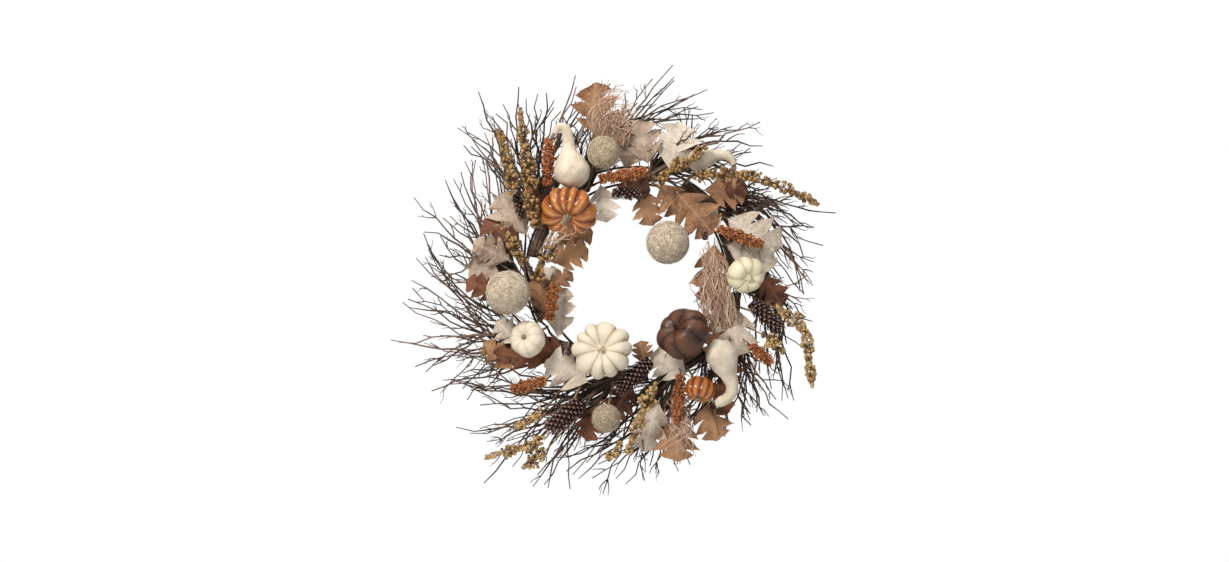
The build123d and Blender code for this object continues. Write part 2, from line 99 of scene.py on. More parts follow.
def curveThrough(points, count):
    # a cubic between each two points, whose slope at a point is half the step between its neighbours
    p = np.asarray(points, float)
    p = np.concatenate([2 * p[:1] - p[1:2], p, 2 * p[-1:] - p[-2:-1]])
    t = np.linspace(0, len(p) - 3, count)
    i = np.minimum(t.astype(int), len(p) - 4)
    f = (t - i)[:, None]
    a, b, c, d = p[i], p[i + 1], p[i + 2], p[i + 3]
    return 0.5 * (2 * b + (c - a) * f + (2 * a - 5 * b + 4 * c - d) * f**2 + (3 * b - a - 3 * c + d) * f**3)


def tubes(paths, radii, sides):
    # a ring of points carried along each path, square to it: centre + radius * (cos * side + sin * lift)
    way = unit(np.gradient(paths, axis=-2))
    side = unit(np.cross(way, offOutward))
    lift = np.cross(side, way)
    turn = np.linspace(0, 2 * math.pi, sides, endpoint=False)[:, None]
    ring = np.cos(turn) * side[..., None, :] + np.sin(turn) * lift[..., None, :]
    return paths[..., None, :] + np.asarray(radii)[..., None, None] * ring


def framesFor(axes):
    # two unit vectors square to each axis, so that a shape on its own upright axis can be laid along it
    side = unit(np.cross(axes, offEvery))
    return side, np.cross(axes, side)


def beads(centres, axes, lengths, widths, rows, sides):
    # small turned shapes: at latitude s the radius is width * cos(s) and the height length * sin(s)
    lat = np.linspace(-beadEnd, beadEnd, rows)
    turn = np.linspace(0, 2 * math.pi, sides, endpoint=False)
    side, lift = framesFor(axes)
    level = np.cos(turn)[:, None] * side[:, None, None, :] + np.sin(turn)[:, None] * lift[:, None, None, :]
    high = (lengths[:, None] * np.sin(lat) / np.sin(beadEnd))[..., None, None] * axes[:, None, None, :]
    wide = (widths[:, None] * np.cos(lat))[..., None, None] * level
    return centres[:, None, None, :] + high + wide


class Shape:
    # gathers grids of points into one mesh; each grid is (pieces, rows, points in a row, 3)
    def __init__(self):
        self.points, self.faces, self.marks, self.count = [], [], {}, 0

    def add(self, grid, **marks):
        # quads between neighbouring rows, which close on themselves, and a cap on the first and last row
        pieces, rows, sides, _ = grid.shape
        j = np.arange(sides)
        i = np.arange(rows - 1)[:, None] * sides
        after = (j + 1) % sides
        quads = np.stack([i + j, i + after, i + sides + after, i + sides + j], -1).reshape(-1, 4)
        caps = np.stack([j[::-1], j + (rows - 1) * sides])
        corner = grid[0].reshape(-1, 3) - grid[0].mean((0, 1))
        a, b, c, d = (corner[quads[:, k]] for k in range(4))
        volume = np.einsum("ij,ij->", a, np.cross(b, c)) + np.einsum("ij,ij->", a, np.cross(c, d))
        base = self.count + np.arange(pieces)[:, None, None] * rows * sides
        for faces in (quads, caps):
            whole = (base + faces[None]).reshape(-1, faces.shape[1])
            self.faces.append(whole if volume > 0 else whole[:, ::-1])
        self.points.append(grid.reshape(-1, 3))
        for name, value in marks.items():
            value = np.asarray(value, float)
            while value.ndim < 3:
                value = value[..., None]
            self.marks.setdefault(name, []).append(np.broadcast_to(value, grid.shape[:3]).ravel())
        self.count += grid[..., 0].size

    def build(self, name, finish, slot, *nodes):
        # one object in one finish, which rides the wreath and stands in for the nodes named
        mesh = bpy.data.meshes.new(name)
        mesh.vertices.add(self.count)
        mesh.vertices.foreach_set("co", toWorld(np.concatenate(self.points)).ravel())
        corners = np.concatenate([faces.ravel() for faces in self.faces])
        sizes = np.concatenate([np.full(len(faces), faces.shape[1]) for faces in self.faces])
        mesh.loops.add(len(corners))
        mesh.loops.foreach_set("vertex_index", corners)
        mesh.polygons.add(len(sizes))
        mesh.polygons.foreach_set("loop_start", np.concatenate([[0], np.cumsum(sizes)[:-1]]))
        mesh.polygons.foreach_set("use_smooth", np.ones(len(sizes), bool))
        for mark, values in self.marks.items():
            mesh.attributes.new(mark, "FLOAT", "POINT").data.foreach_set("value", np.concatenate(values))
        mesh.update(calc_edges=True)
        mesh.validate()
        mesh.materials.append(finish.material)
        piece = bpy.data.objects.new(name, mesh)
        bpy.context.scene.collection.objects.link(piece)
        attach(piece, "wreath")
        if nodes:
            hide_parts(*nodes)
        return piece


class Value:
    # a socket that can be added, multiplied and so on, each making one Math node
    def __init__(self, finish, socket):
        self.finish, self.socket = finish, socket

    def maths(self, operation, *others):
        return self.finish.node("Math", {"operation": operation}, dict(enumerate((self, *others))))

    def __add__(self, other):
        return self.maths("ADD", other)

    def __sub__(self, other):
        return self.maths("SUBTRACT", other)

    def __mul__(self, other):
        return self.maths("MULTIPLY", other)

    def __pow__(self, other):
        return self.maths("POWER", other)

    def __rsub__(self, other):
        return self.finish.node("Math", {"operation": "SUBTRACT"}, {0: other, 1: self})

    def clamp(self):
        return self.finish.node("Clamp", {}, {"Value": self})

    __radd__, __rmul__ = __add__, __mul__


class Finish:
    # one material; set() puts numbers or sockets on its shader
    def __init__(self, name, **values):
        self.material = bpy.data.materials.new(name)
        self.material.use_nodes = True
        self.tree = self.material.node_tree
        self.shader = self.tree.nodes["Principled BSDF"]
        self.place = self.node("TexCoord", {}, {}, "Object")
        self.set(**values)

    def node(self, kind, settings, inputs, output=0):
        made = self.tree.nodes.new("ShaderNode" + kind)
        for name, value in settings.items():
            if name == "stops":
                ramp = made.color_ramp
                while len(ramp.elements) < len(value):
                    ramp.elements.new(0.5)
                for stop, (position, colour) in zip(ramp.elements, value):
                    stop.position, stop.color = position, (*colour, 1.0)
            else:
                setattr(made, name, value)
        for name, value in inputs.items():
            self.put(made.inputs[name], value)
        return Value(self, made.outputs[output])

    def put(self, socket, value):
        if isinstance(value, Value):
            self.tree.links.new(value.socket, socket)
        elif socket.type == "RGBA":
            socket.default_value = (*value, 1.0)
        else:
            socket.default_value = value

    def set(self, **values):
        for name, value in values.items():
            self.put(self.shader.inputs[name.replace("_", " ")], value)

    def noise(self, scale, detail=3.0):
        return self.node("TexNoise", {}, {"Scale": scale, "Detail": detail, "Vector": self.place})

    def cells(self, scale):
        return self.node("TexVoronoi", {}, {"Scale": scale, "Vector": self.place})

    def mark(self, name):
        return self.node("Attribute", {"attribute_name": name}, {}, "Fac")

    def ramp(self, amount, *stops):
        return self.node("ValToRGB", {"stops": stops}, {"Fac": amount})

    def mix(self, amount, first, second, blend="MIX"):
        settings = {"data_type": "RGBA", "blend_type": blend}
        return self.node("Mix", settings, {0: amount, 6: first, 7: second}, 2)

    def bump(self, height, strength, distance):
        inputs = {"Height": height, "Strength": strength, "Distance": distance * mm}
        self.set(Normal=self.node("Bump", {}, inputs))


def barkFinish():
    # brown to pale by each twig's tone and a fine grain, with small pale specks
    finish = Finish("birch_bark", Roughness=0.72)
    grain = finish.noise(260, 5.0)
    tone = (finish.mark("tone") * 0.55 + grain * 0.75 - 0.15).clamp()
    bark = finish.ramp(
        tone,
        (0.15, (0.028, 0.016, 0.011)),
        (0.55, (0.082, 0.045, 0.030)),
        (0.95, (0.28, 0.18, 0.13)),
    )
    specks = finish.ramp(finish.cells(700), (0.10, (0.42, 0.35, 0.29)), (0.17, (0.0, 0.0, 0.0)))
    finish.set(Base_Color=finish.mix(0.16, bark, specks, "ADD"))
    finish.bump(grain, 0.6, 0.4)
    return finish


def rindFinish(name, groove, flesh, crest, roughness, coat, mottle=0.25, paintedHighlight=0.0):
    # colour follows the ribs: painted shade darkens the grooves and painted light brightens the crests,
    # mottled by noise
    finish = Finish(name, Roughness=roughness, Coat_Weight=coat, Coat_Roughness=0.12)
    rib = finish.mark("rib")
    cloud, fine = finish.noise(45, 5.0), finish.noise(420, 4.0)
    amount = (rib * 0.85 + (cloud - 0.5) * mottle * 2 + (fine - 0.5) * 0.18).clamp()
    # the groove colour is painted shade in the creases and the crest colour is painted light on the rib tops
    colour = finish.ramp(amount, (0.05, groove), (0.5, flesh), (0.95, crest))
    # painted highlight: pale glossy lines along the rib crests on the stem half, broken up by the clouds
    if paintedHighlight:
        upper = ((finish.mark("along") - 0.5) * 4).clamp()
        line = ((rib - 0.975) * 40).clamp() * upper * (cloud * 3 - 1.1).clamp() * paintedHighlight
        colour = finish.mix(line.clamp(), colour, (0.86, 0.58, 0.26))
    finish.set(Base_Color=colour)
    finish.bump(fine + cloud * 0.6, 0.28, 0.5)
    return finish


def paperFinish(name, deep, light, fleck):
    # cloudy papery skin with brown flecks where the clouds are light
    finish = Finish(name, Roughness=0.82)
    cloud, fine = finish.noise(60, 6.0), finish.noise(520, 5.0)
    colour = finish.ramp((cloud * 0.7 + fine * 0.4 - 0.05).clamp(), (0.25, deep), (0.6, light))
    flecks = finish.ramp(finish.cells(240), (0.08, (1.0, 1.0, 1.0)), (0.16, (0.0, 0.0, 0.0)))
    spots = (flecks * finish.ramp(cloud, (0.5, (0.0, 0.0, 0.0)), (0.62, (1.0, 1.0, 1.0)))).clamp()
    finish.set(Base_Color=finish.mix(spots * 0.6, colour, fleck))
    finish.bump(fine + cloud * 0.8, 0.5, 0.8)
    return finish


def toneFinish(name, dark, light, roughness, coat=0.0, scale=300, bump=0.4, depth=0.5):
    # plain stuff whose pieces differ in tone, with a grain of its own
    finish = Finish(name, Roughness=roughness, Coat_Weight=coat, Coat_Roughness=0.15)
    grain = finish.noise(scale, 5.0)
    tone = (finish.mark("tone") * 0.8 + (grain - 0.5) * 0.7 + 0.1).clamp()
    finish.set(Base_Color=finish.ramp(tone, (0.08, dark), (0.85, light)))
    finish.bump(grain, bump, depth)
    return finish


def scaleFinish():
    # pine cone scales: dark, with painted shade near black towards each root between the scales; purplish
    # brown on the back, frosted along the rim
    finish = Finish("cone_scale", Roughness=0.7)
    rim, grain = finish.mark("along"), finish.noise(380, 4.0)
    colour = finish.ramp(
        (rim + (grain - 0.5) * 0.25).clamp(),
        # from the 0.50 stop to the 0.88 stop the dark brown is deepened by painted shade down between the
        # scales
        (0.50, (0.016, 0.006, 0.004)),
        (0.88, (0.062, 0.022, 0.014)),
        (0.95, (0.17, 0.080, 0.060)),
        (1.0, (0.72, 0.54, 0.46)),
    )
    finish.set(Base_Color=finish.mix(finish.mark("tone") * 0.3, colour, (0.05, 0.022, 0.017)))
    finish.bump(grain, 0.5, 0.4)
    return finish


def leafFinish(name, dark, light, vein, weave=0.0, mottle=0.5, fleck=None):
    # threads run along and across the blade; veins are pale lines out to each lobe's point
    finish = Finish(name, Roughness=0.86, Sheen_Weight=0.18, Sheen_Roughness=0.5)
    lengthwise, across = finish.mark("lengthwise"), finish.mark("across")
    cloud, fine = finish.noise(38, 5.0), finish.noise(900, 3.0)
    patch = finish.noise(210, 4.0)
    tone = finish.mark("tone") * 0.4 + (cloud - 0.5) * mottle * 3.5 + 0.32
    tone = tone + (patch - 0.5) * 1.3 + (fine - 0.5) * 0.4
    height = fine * 0.5
    if weave:
        pull = finish.noise(160, 2.0) * 1.4
        warp = ((lengthwise + pull) * (2 * math.pi / weave)).maths("SINE")
        weft = ((across + pull) * (2 * math.pi / weave)).maths("SINE")
        thread = warp.maths("MAXIMUM", weft) * 0.5 + 0.5
        height = thread + fine * 0.4
        tone = tone + (thread - 0.6) * 0.55
    colour = finish.ramp(tone.clamp(), (0.05, dark), (0.75, light))
    line = (1 - finish.mark("vein")).clamp() ** 6
    colour = finish.mix(line * 0.55, colour, vein)
    if fleck:
        dots = finish.ramp(finish.cells(170), (0.07, (1.0, 1.0, 1.0)), (0.12, (0.0, 0.0, 0.0)))
        colour = finish.mix(dots * 0.7, colour, fleck)
    finish.set(Base_Color=colour)
    finish.bump(height + line * 0.8, 0.55, 0.6)
    return finish


def wireFinish(name, colour, roughness, metallic):
    # painted or bare wire, darker and rougher where noise says that it is worn
    finish = Finish(name, Metallic=metallic)
    wear = finish.noise(240, 5.0)
    finish.set(Base_Color=finish.mix(wear * 0.6, colour, [0.45 * c + 0.02 for c in colour]))
    finish.set(Roughness=(wear * 0.3 + roughness).clamp())
    finish.bump(wear, 0.2, 0.2)
    return finish


finishes = {
    "bark": barkFinish(),
    # each rind gets groove, flesh and crest colours: the groove colour is painted shade and the crest colour
    # painted light
    # the last number given to the orange and amber rinds sets the strength of their painted highlight
    "orange": rindFinish(
        "orange_rind", (0.050, 0.010, 0.003), (0.29, 0.076, 0.011), (0.52, 0.185, 0.030), 0.26, 0.5,
        0.3, 0.7),
    "amber": rindFinish(
        "amber_rind", (0.05, 0.008, 0.003), (0.30, 0.070, 0.010), (0.55, 0.19, 0.030), 0.26, 0.5,
        0.3, 0.8),
    "chalk": rindFinish(
        "white_rind", (0.40, 0.30, 0.19), (0.68, 0.60, 0.46), (0.76, 0.70, 0.58), 0.78, 0.0, 0.14),
    "chalkSmooth": rindFinish(
        "smooth_white_rind", (0.58, 0.50, 0.37), (0.70, 0.62, 0.49), (0.75, 0.68, 0.56), 0.7, 0.0,
        0.14),
    "ivory": rindFinish(
        "cream_rind", (0.46, 0.38, 0.22), (0.72, 0.66, 0.45), (0.79, 0.74, 0.56), 0.5, 0.1, 0.12),
    "rust": rindFinish(
        "brown_rind", (0.016, 0.005, 0.003), (0.052, 0.018, 0.009), (0.120, 0.044, 0.018), 0.55,
        0.1, 0.45),
    "stem": toneFinish("dry_stem", (0.10, 0.07, 0.045), (0.40, 0.33, 0.23), 0.8, 0.0, 420, 0.7),
    "paper": paperFinish("gourd_paper", (0.46, 0.38, 0.28), (0.72, 0.64, 0.52), (0.30, 0.22, 0.14)),
    "fibre": toneFinish("wound_fibre", (0.44, 0.35, 0.25), (0.82, 0.73, 0.60), 0.85, 0.0, 200, 0.7, 1.2),
    "gilt": toneFinish("gilt_fibre", (0.34, 0.26, 0.16), (0.70, 0.60, 0.45), 0.8, 0.0, 200, 0.7, 1.2),
    "scale": scaleFinish(),
    "berry": toneFinish("berry_lacquer", (0.075, 0.036, 0.010), (0.44, 0.255, 0.085), 0.34, 0.3, 90, 0.1),
    "berryPale": toneFinish(
        "pale_berry_lacquer", (0.15, 0.076, 0.024), (0.56, 0.37, 0.155), 0.36, 0.25, 90, 0.1),
    "seed": toneFinish("seed_rust", (0.14, 0.035, 0.012), (0.58, 0.22, 0.07), 0.66, 0.0, 500, 0.5),
    "root": toneFinish("root_fibre", (0.36, 0.22, 0.15), (0.78, 0.58, 0.44), 0.75, 0.0, 300, 0.5),
    "flock": leafFinish(
        "cream_flock", (0.42, 0.33, 0.25), (0.72, 0.64, 0.55), (0.80, 0.74, 0.65), 0.0, 0.42,
        (0.30, 0.20, 0.13)),
    "taupe": leafFinish(
        "taupe_flock", (0.23, 0.155, 0.115), (0.52, 0.40, 0.315), (0.60, 0.49, 0.40), 0.0, 0.5),
    "burlap": leafFinish(
        "tan_burlap", (0.17, 0.075, 0.034), (0.46, 0.245, 0.125), (0.54, 0.33, 0.19), 1.5, 0.4),
    "hide": leafFinish(
        "brown_hide", (0.040, 0.013, 0.008), (0.185, 0.068, 0.032), (0.26, 0.11, 0.055), 0.0, 0.6),
    "form": wireFinish("form_paint", (0.045, 0.055, 0.040), 0.35, 0.2),
    "steel": wireFinish("loop_steel", (0.60, 0.60, 0.61), 0.22, 1.0),
    "tie": wireFinish("tie_paint", (0.09, 0.055, 0.035), 0.4, 0.4),
    "pick": toneFinish("pick_wood", (0.30, 0.19, 0.10), (0.52, 0.37, 0.22), 0.7),
}
print("finishes made:", len(finishes))

# The ring form, its ties, the loop and the picks keep the frame's own meshes.
keptFinishes = {"wire_frame": "form", "hanging_loop": "steel", "tie_wires": "tie", "ornament_picks": "pick"}
for node, finish in keptFinishes.items():
    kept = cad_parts[node]
    kept.data.materials.clear()
    kept.data.materials.append(finishes[finish].material)

# Each bundle of twigs is bound along the ring, then its twigs splay outwards and fork.
twigs = {
    "perBundle": 33,
    "neckArc": 16.0,
    "neckRadius": 8.6,
    "neckClear": 2.5,
    "neckSteps": 5,
    "sweepSteps": 13,
    "butt": 1.95,
    "tip": 0.62,
    "swing": (10.0, 56.0),
    "kink": 2.6,
    "bow": 13.0,
    "curl": 14,
    "waver": 1.6,
    "lift": (2.5, 62.0),
    "lowest": 1.6,
    "loopRoom": (12.0, 60.0, 34.0),
}
shoots = {"perTwig": 4, "length": (18, 66), "spurLength": (6, 22), "bend": 0.35, "waver": 0.9, "lowest": 1.2}
bundles = [
    {"reach": 272, "longest": 25},
    {"reach": 297, "longest": 30},
    {"reach": 335, "longest": 15},
    {"reach": 314, "longest": 25},
    {"reach": 350, "longest": 24},
    {"reach": 352, "longest": 20},
    {"reach": 314, "longest": 25},
    {"reach": 291, "longest": 10},
    {"reach": 285, "longest": 40},
    {"reach": 276, "longest": 25},
]


def clearOfLoop(paths):
    # true for the paths that stay out of the space in which the hanging loop swings
    wide, high, deep = twigs["loopRoom"]
    up = paths[..., 1] - ringMid
    inside = (np.abs(paths[..., 0]) < wide) & (up > 6) & (up < high) & (paths[..., 2] < deep)
    return ~inside.any(-1)


def mainTwigs(start, reach, longest, rng):
    # an arc along the ring, then a curve that leaves it on its tangent and bends to the tip, kinked at buds
    n, steps = twigs["perBundle"], twigs["sweepSteps"]
    swing = np.linspace(*twigs["swing"], n) + rng.normal(0, 1.2, n)
    aside = np.abs(swing - longest - 8)
    share = 0.97 - 0.004 * aside - np.abs(rng.normal(0, 0.13, n))
    share[np.argmin(aside)] = 1.0
    spin, ride = rng.uniform(0, 2 * math.pi, n), twigs["neckRadius"] * np.sqrt(rng.uniform(0, 1, n))
    offset = ride * np.cos(spin)
    neckOut = wireOut + form["wire"] / 2 + twigs["neckRadius"] + twigs["neckClear"] + ride * np.sin(spin)
    arc = start - twigs["neckArc"] * np.linspace(0, 1, twigs["neckSteps"])
    neck = onRing(arc[None], offset[:, None], neckOut[:, None])
    end = start - twigs["neckArc"]
    low, high = twigs["lift"]
    tipOut = np.clip(rng.gamma(2.0, 9.0, n), low, high)
    tip = onRing(end - swing, reach * np.maximum(share, 0.55) - ringMid, tipOut)
    leave = neck[:, -1]
    far = np.linalg.norm(tip - leave, axis=-1)[:, None]
    bend = leave + (along(end - 90) * 0.20 + along(end - 12) * 0.26) * far
    bend = bend + outward * rng.uniform(0, 6, n)[:, None]
    t = np.linspace(0.06, 1, steps)[None, :, None]
    sweep = (1 - t) ** 2 * leave[:, None] + 2 * t * (1 - t) * bend[:, None] + t**2 * tip[:, None]
    side = unit(np.cross(np.gradient(sweep, axis=1), outward))
    bow = np.sin(math.pi * t) * rng.normal(0, twigs["bow"], (n, 1, 1))
    kink = rng.normal(0, twigs["kink"], (n, steps, 1)) * t
    curl = t**5 * rng.normal(0, twigs["curl"], (n, 1, 1))
    sweep = sweep + side * (bow + kink + curl) + outward * rng.normal(0, twigs["waver"], (n, steps, 1)) * t
    paths = np.concatenate([neck, sweep], 1)
    paths[..., 2] = np.maximum(paths[..., 2], twigs["lowest"])
    return paths


def shootsFrom(paths, count, lengths, rng, points=6):
    # side shoots: straight lines that leave a twig at 20 to 50 degrees and curve gently back to its heading
    n, steps = paths.shape[:2]
    at = rng.integers(int(steps * 0.45), steps - 1, (n, count))
    which = np.arange(n)[:, None]
    origin = paths[which, at]
    way = unit(paths[which, at + 1] - paths[which, at - 1])
    turn = rng.choice([-1, 1], (n, count)) * rng.uniform(0.35, 0.95, (n, count))
    side = np.cross(way, outward)
    start = way * np.cos(turn)[..., None] + side * np.sin(turn)[..., None]
    start = unit(start + outward * rng.normal(0, 0.28, (n, count))[..., None])
    long = rng.uniform(*lengths, (n, count)) * (1.25 - at / steps)
    s = np.linspace(0, 1, points)[None, None, :, None]
    back = (way - start)[:, :, None] * shoots["bend"] * s**2
    shoot = origin[:, :, None] + long[..., None, None] * (start[:, :, None] * s + back)
    shoot = shoot + rng.normal(0, shoots["waver"], shoot.shape) * s
    shoot = shoot.reshape(n * count, points, 3)
    shoot[..., 2] = np.maximum(shoot[..., 2], shoots["lowest"])
    return shoot


def twigBundle(number, bundle):
    # main twigs, shoots off them and spurs off every second shoot; a twig's radius falls from butt to tip
    # with the way left to the power 0.75
    rng = np.random.default_rng(100 + number)
    start = 90 + twigs["neckArc"] / 2 + number * 360 / len(bundles)
    neck, sweep = twigs["neckSteps"], twigs["sweepSteps"]
    shape = Shape()
    paths = mainTwigs(start, bundle["reach"], bundle["longest"], rng)
    paths = paths[clearOfLoop(paths)]
    taper = np.concatenate([np.ones(neck), np.linspace(1, 0, sweep) ** 0.75])
    thick = rng.uniform(0.75, 1.3, (len(paths), 1))
    bud = 1 + 0.28 * (rng.random((len(paths), neck + sweep)) > 0.6)
    radii = (twigs["tip"] + (twigs["butt"] * thick - twigs["tip"]) * taper) * bud
    shape.add(tubes(paths, radii, 5), tone=rng.random(len(paths)))
    forks = shootsFrom(paths, shoots["perTwig"], shoots["length"], rng)
    forks = forks[clearOfLoop(forks)]
    fine = np.linspace(0.95, 0.4, 6)[None] * rng.uniform(0.75, 1.15, (len(forks), 1))
    shape.add(tubes(forks, fine, 4), tone=rng.random(len(forks)))
    spurs = shootsFrom(forks[::2], 1, shoots["spurLength"], rng, 4)
    spurs = spurs[clearOfLoop(spurs)]
    fine = np.linspace(0.6, 0.35, 4)[None] * np.ones((len(spurs), 1))
    shape.add(tubes(spurs, fine, 3), tone=rng.random(len(spurs)))
    shape.build(f"twigs_{number + 1:02d}", finishes["bark"], "twig", f"twig_bundle_{number + 1:02d}")


for number, bundle in enumerate(bundles):
    twigBundle(number, bundle)
print("twigs made")

# Pumpkins: a seat is a ring angle and offset, a pose is the heading and the rise of the stem.
ornamentFloor = 47.0
pumpkins = {
    "orange_pumpkin": {
        "seat": (136, -15), "width": 76, "height": 48, "lobes": 12,
        "pose": (255, 56), "lift": 3, "groove": 0.16,
        "finish": "orange", "stalk": "stem", "slot": "orange_rind", "stem": (3.6, 15, 20),
    },
    "large_white_pumpkin": {
        "seat": (247, -27), "width": 82, "height": 50, "lobes": 10,
        "pose": (120, 80), "lift": 0, "groove": 0.17,
        "finish": "chalk", "slot": "white_rind", "stem": (4.2, 8, 18),
    },
    "small_white_pumpkin": {
        "seat": (211, 31), "width": 50, "height": 36, "lobes": 9,
        "pose": (150, 60), "lift": 0, "groove": 0.03,
        "finish": "chalkSmooth", "stalk": "stem", "slot": "white_rind", "stem": (3.2, 3, 8),
    },
    "cream_pumpkin": {
        "seat": (0, 14), "width": 52, "height": 36, "lobes": 7,
        "pose": (311, 65), "lift": 0, "groove": 0.10,
        "finish": "ivory", "slot": "cream_rind", "stem": (4.4, 4, 12),
    },
    "brown_pumpkin": {
        "seat": (310, -35), "width": 74, "height": 52, "lobes": 7,
        "pose": (139, 42), "lift": 2, "groove": 0.14,
        "finish": "rust", "slot": "brown_rind", "stem": (3.0, 7, 18),
    },
    "amber_pumpkin": {
        "seat": (300, 42), "width": 40, "height": 34, "lobes": 10,
        "pose": (256, 25), "lift": 0, "groove": 0.12,
        "finish": "amber", "stalk": "stem", "slot": "amber_rind", "stem": (2.2, 8, 10),
    },
}


def pumpkin(name, shape, seed):
    # ribs: the radius dips by the groove depth where |sin| of half the lobe angle falls to nothing;
    # the ends sink into a dimple that falls off with the square of the distance from the axis
    rng = np.random.default_rng(seed)
    tilt = math.radians(shape["pose"][1])
    half = math.hypot(shape["width"] / 2 * math.cos(tilt), shape["height"] / 2 * math.sin(tilt))
    centre = onRing(*shape["seat"], ornamentFloor + half + shape["lift"])
    axis = along(*shape["pose"])
    side, lift = framesFor(axis[None])
    turn = np.linspace(0, 2 * math.pi, shape["lobes"] * 20, endpoint=False)
    lat = np.linspace(-math.pi / 2 + 0.03, math.pi / 2 - 0.03, 64)[:, None]
    warp = turn + 0.16 * np.sin(2 * turn + rng.uniform(0, 6)) / 2
    warp = warp + 0.08 * np.sin(3 * turn + rng.uniform(0, 6))
    rib = np.abs(np.sin(shape["lobes"] * warp / 2)) ** 0.62
    each = 1 + 0.012 * np.sin(5 * lat + 3 * turn) * np.cos(7 * lat - turn)
    each = each + 0.03 * np.sin(turn * 2 + rng.uniform(0, 6)) + 0.02 * np.sin(turn * 5 + rng.uniform(0, 6))
    girth = np.cos(lat) ** 0.72
    wide = shape["width"] / 2 * girth * (1 - shape["groove"] * (1 - rib) * np.cos(lat) ** 0.3) * each
    high = shape["height"] / 2 * np.sign(np.sin(lat)) * np.abs(np.sin(lat)) ** 0.92
    dimple = shape["height"] * (0.23 * (lat > 0) + 0.10 * (lat < 0)) * np.exp(-((girth / 0.42) ** 2))
    crown = (rib - 0.5) * shape["groove"] * 9 * np.exp(-((girth - 0.5) / 0.25) ** 2)
    high = high - np.sign(lat) * dimple + crown * np.sign(lat)
    level = np.cos(turn)[:, None] * side + np.sin(turn)[:, None] * lift
    body = centre + high[..., None] * axis + wide[..., None] * level
    fruit = Shape()
    # along runs from 0 at the blossom end to 1 at the stem; the painted highlight keeps to its stem half
    upwards = (lat + 1.57) / 3.14 + 0 * wide
    # rib is 0 in the grooves and 1 on the crests, and places the rind's painted shade and painted light
    fruit.add(body[None], rib=np.broadcast_to(rib, wide.shape)[None], along=upwards[None])
    fruit.build(name.replace("_", "-"), finishes[shape["finish"]], shape["slot"], name)
    radius, length, sink = shape["stem"]
    s = np.linspace(0, 1, 16)[:, None]
    foot = centre + axis * (shape["height"] / 2 - shape["height"] * 0.25)
    lean = unit(side[0] + 0.4 * lift[0])
    path = foot + axis * (length + sink * 0.3) * s + lean * length * 0.28 * s**2
    flare = radius * (1 + 0.9 * (1 - s[:, 0]) ** 3 - 0.25 * s[:, 0] + 0.25 * s[:, 0] ** 6)
    flare[-1] *= 0.55
    around = np.linspace(0, 2 * math.pi, 30, endpoint=False)
    ridge = 1 + 0.15 * np.cos(5 * around + 2 * s)
    stalk = tubes(path[None], flare[None], 30)
    stalk = path[None, :, None] + (stalk - path[None, :, None]) * ridge[None, ..., None]
    stub = Shape()
    # the stem's colour follows its ridges: painted shade darkens the grooves between them and painted light
    # brightens the ridge tops
    ridges = np.cos(5 * around)[None, None]
    stub.add(stalk, tone=0.5 + 0.3 * ridges, rib=0.55 + 0.35 * ridges)
    dressed = finishes[shape.get("stalk", shape["finish"])]
    stub.build(name.replace("_", "-") + "-stem", dressed, shape["slot"])


for number, (name, shape) in enumerate(pumpkins.items()):
    pumpkin(name, shape, 20 + number)
print("pumpkins made")

# Gourds: a run's points are right, up and radius from the seat; the stub is where its cut stem ends.
gourds = {
    "swan_neck_gourd": {
        "seat": (120.5, 29), "out": 68, "stub": (-27, 44, 2.6),
        "run": [
            (3, -26, 3), (3, -23, 12), (2, -15, 21), (0, -3, 25), (-2, 10, 21), (-4, 26, 11),
            (-5, 42, 7.8), (-9, 55, 6.8), (-17, 58, 5.6), (-24, 49, 4.2)],
    },
    "hooked_gourd": {
        "seat": (317, 25), "out": 72, "stub": (-12, -61, 2.2),
        "run": [
            (-5, 24, 3), (-5, 21, 10), (-3, 13, 18.5), (0, 2, 22.5), (5, -13, 17.5),
            (10, -26, 11.5), (14, -38, 9), (13, -50, 8), (6, -58, 7.5), (-4, -62, 7),
            (-9, -62, 4)],
    },
    "lying_gourd": {
        "seat": (60, 44), "out": 56, "stub": (47, -12, 2.4),
        "run": [
            (-17, -8, 3), (-15, -7, 8), (-9, -4, 13.5), (0, 0, 15), (11, 3, 12), (22, 6, 8),
            (33, 6, 6.5), (42, 1, 5.5), (46, -7, 4.2)],
    },
}


def gourd(name, shape):
    # a round section carried along a bent neck, its radius times 1 + small sines of the angle round it
    steps = 96
    seat = onRing(*shape["seat"], shape["out"])
    run = curveThrough(shape["run"], steps)
    path = seat + np.stack([run[:, 0], run[:, 1], np.zeros(steps)], -1)
    around = np.linspace(0, 2 * math.pi, 56, endpoint=False)
    lumps = 1 + 0.018 * np.sin(3 * around + run[:, :1] * 0.2) + 0.012 * np.sin(7 * around + run[:, 1:2] * 0.3)
    skin = tubes(path[None], run[None, :, 2], 56)
    skin = path[None, :, None] + (skin - path[None, :, None]) * lumps[None, ..., None]
    body = Shape()
    body.add(skin)
    body.build(name.replace("_", "-"), finishes["paper"], "gourd_skin", name)
    end = np.array([*run[-1, :2], 0.0]) + seat
    tip = seat + np.array([*shape["stub"][:2], 0.0])
    s = np.linspace(-0.4, 1.3, 8)[:, None]
    stub = Shape()
    knobby = shape["stub"][2] * np.array([[1.1, 1, 1, 1, 0.95, 1, 1.15, 0.8]])
    stub.add(tubes((end + (tip - end) * s)[None], knobby, 12), tone=0.35)
    stub.build(name.replace("_", "-") + "-stem", finishes["stem"], "gourd_skin")


for name, shape in gourds.items():
    gourd(name, shape)
print("gourds made")

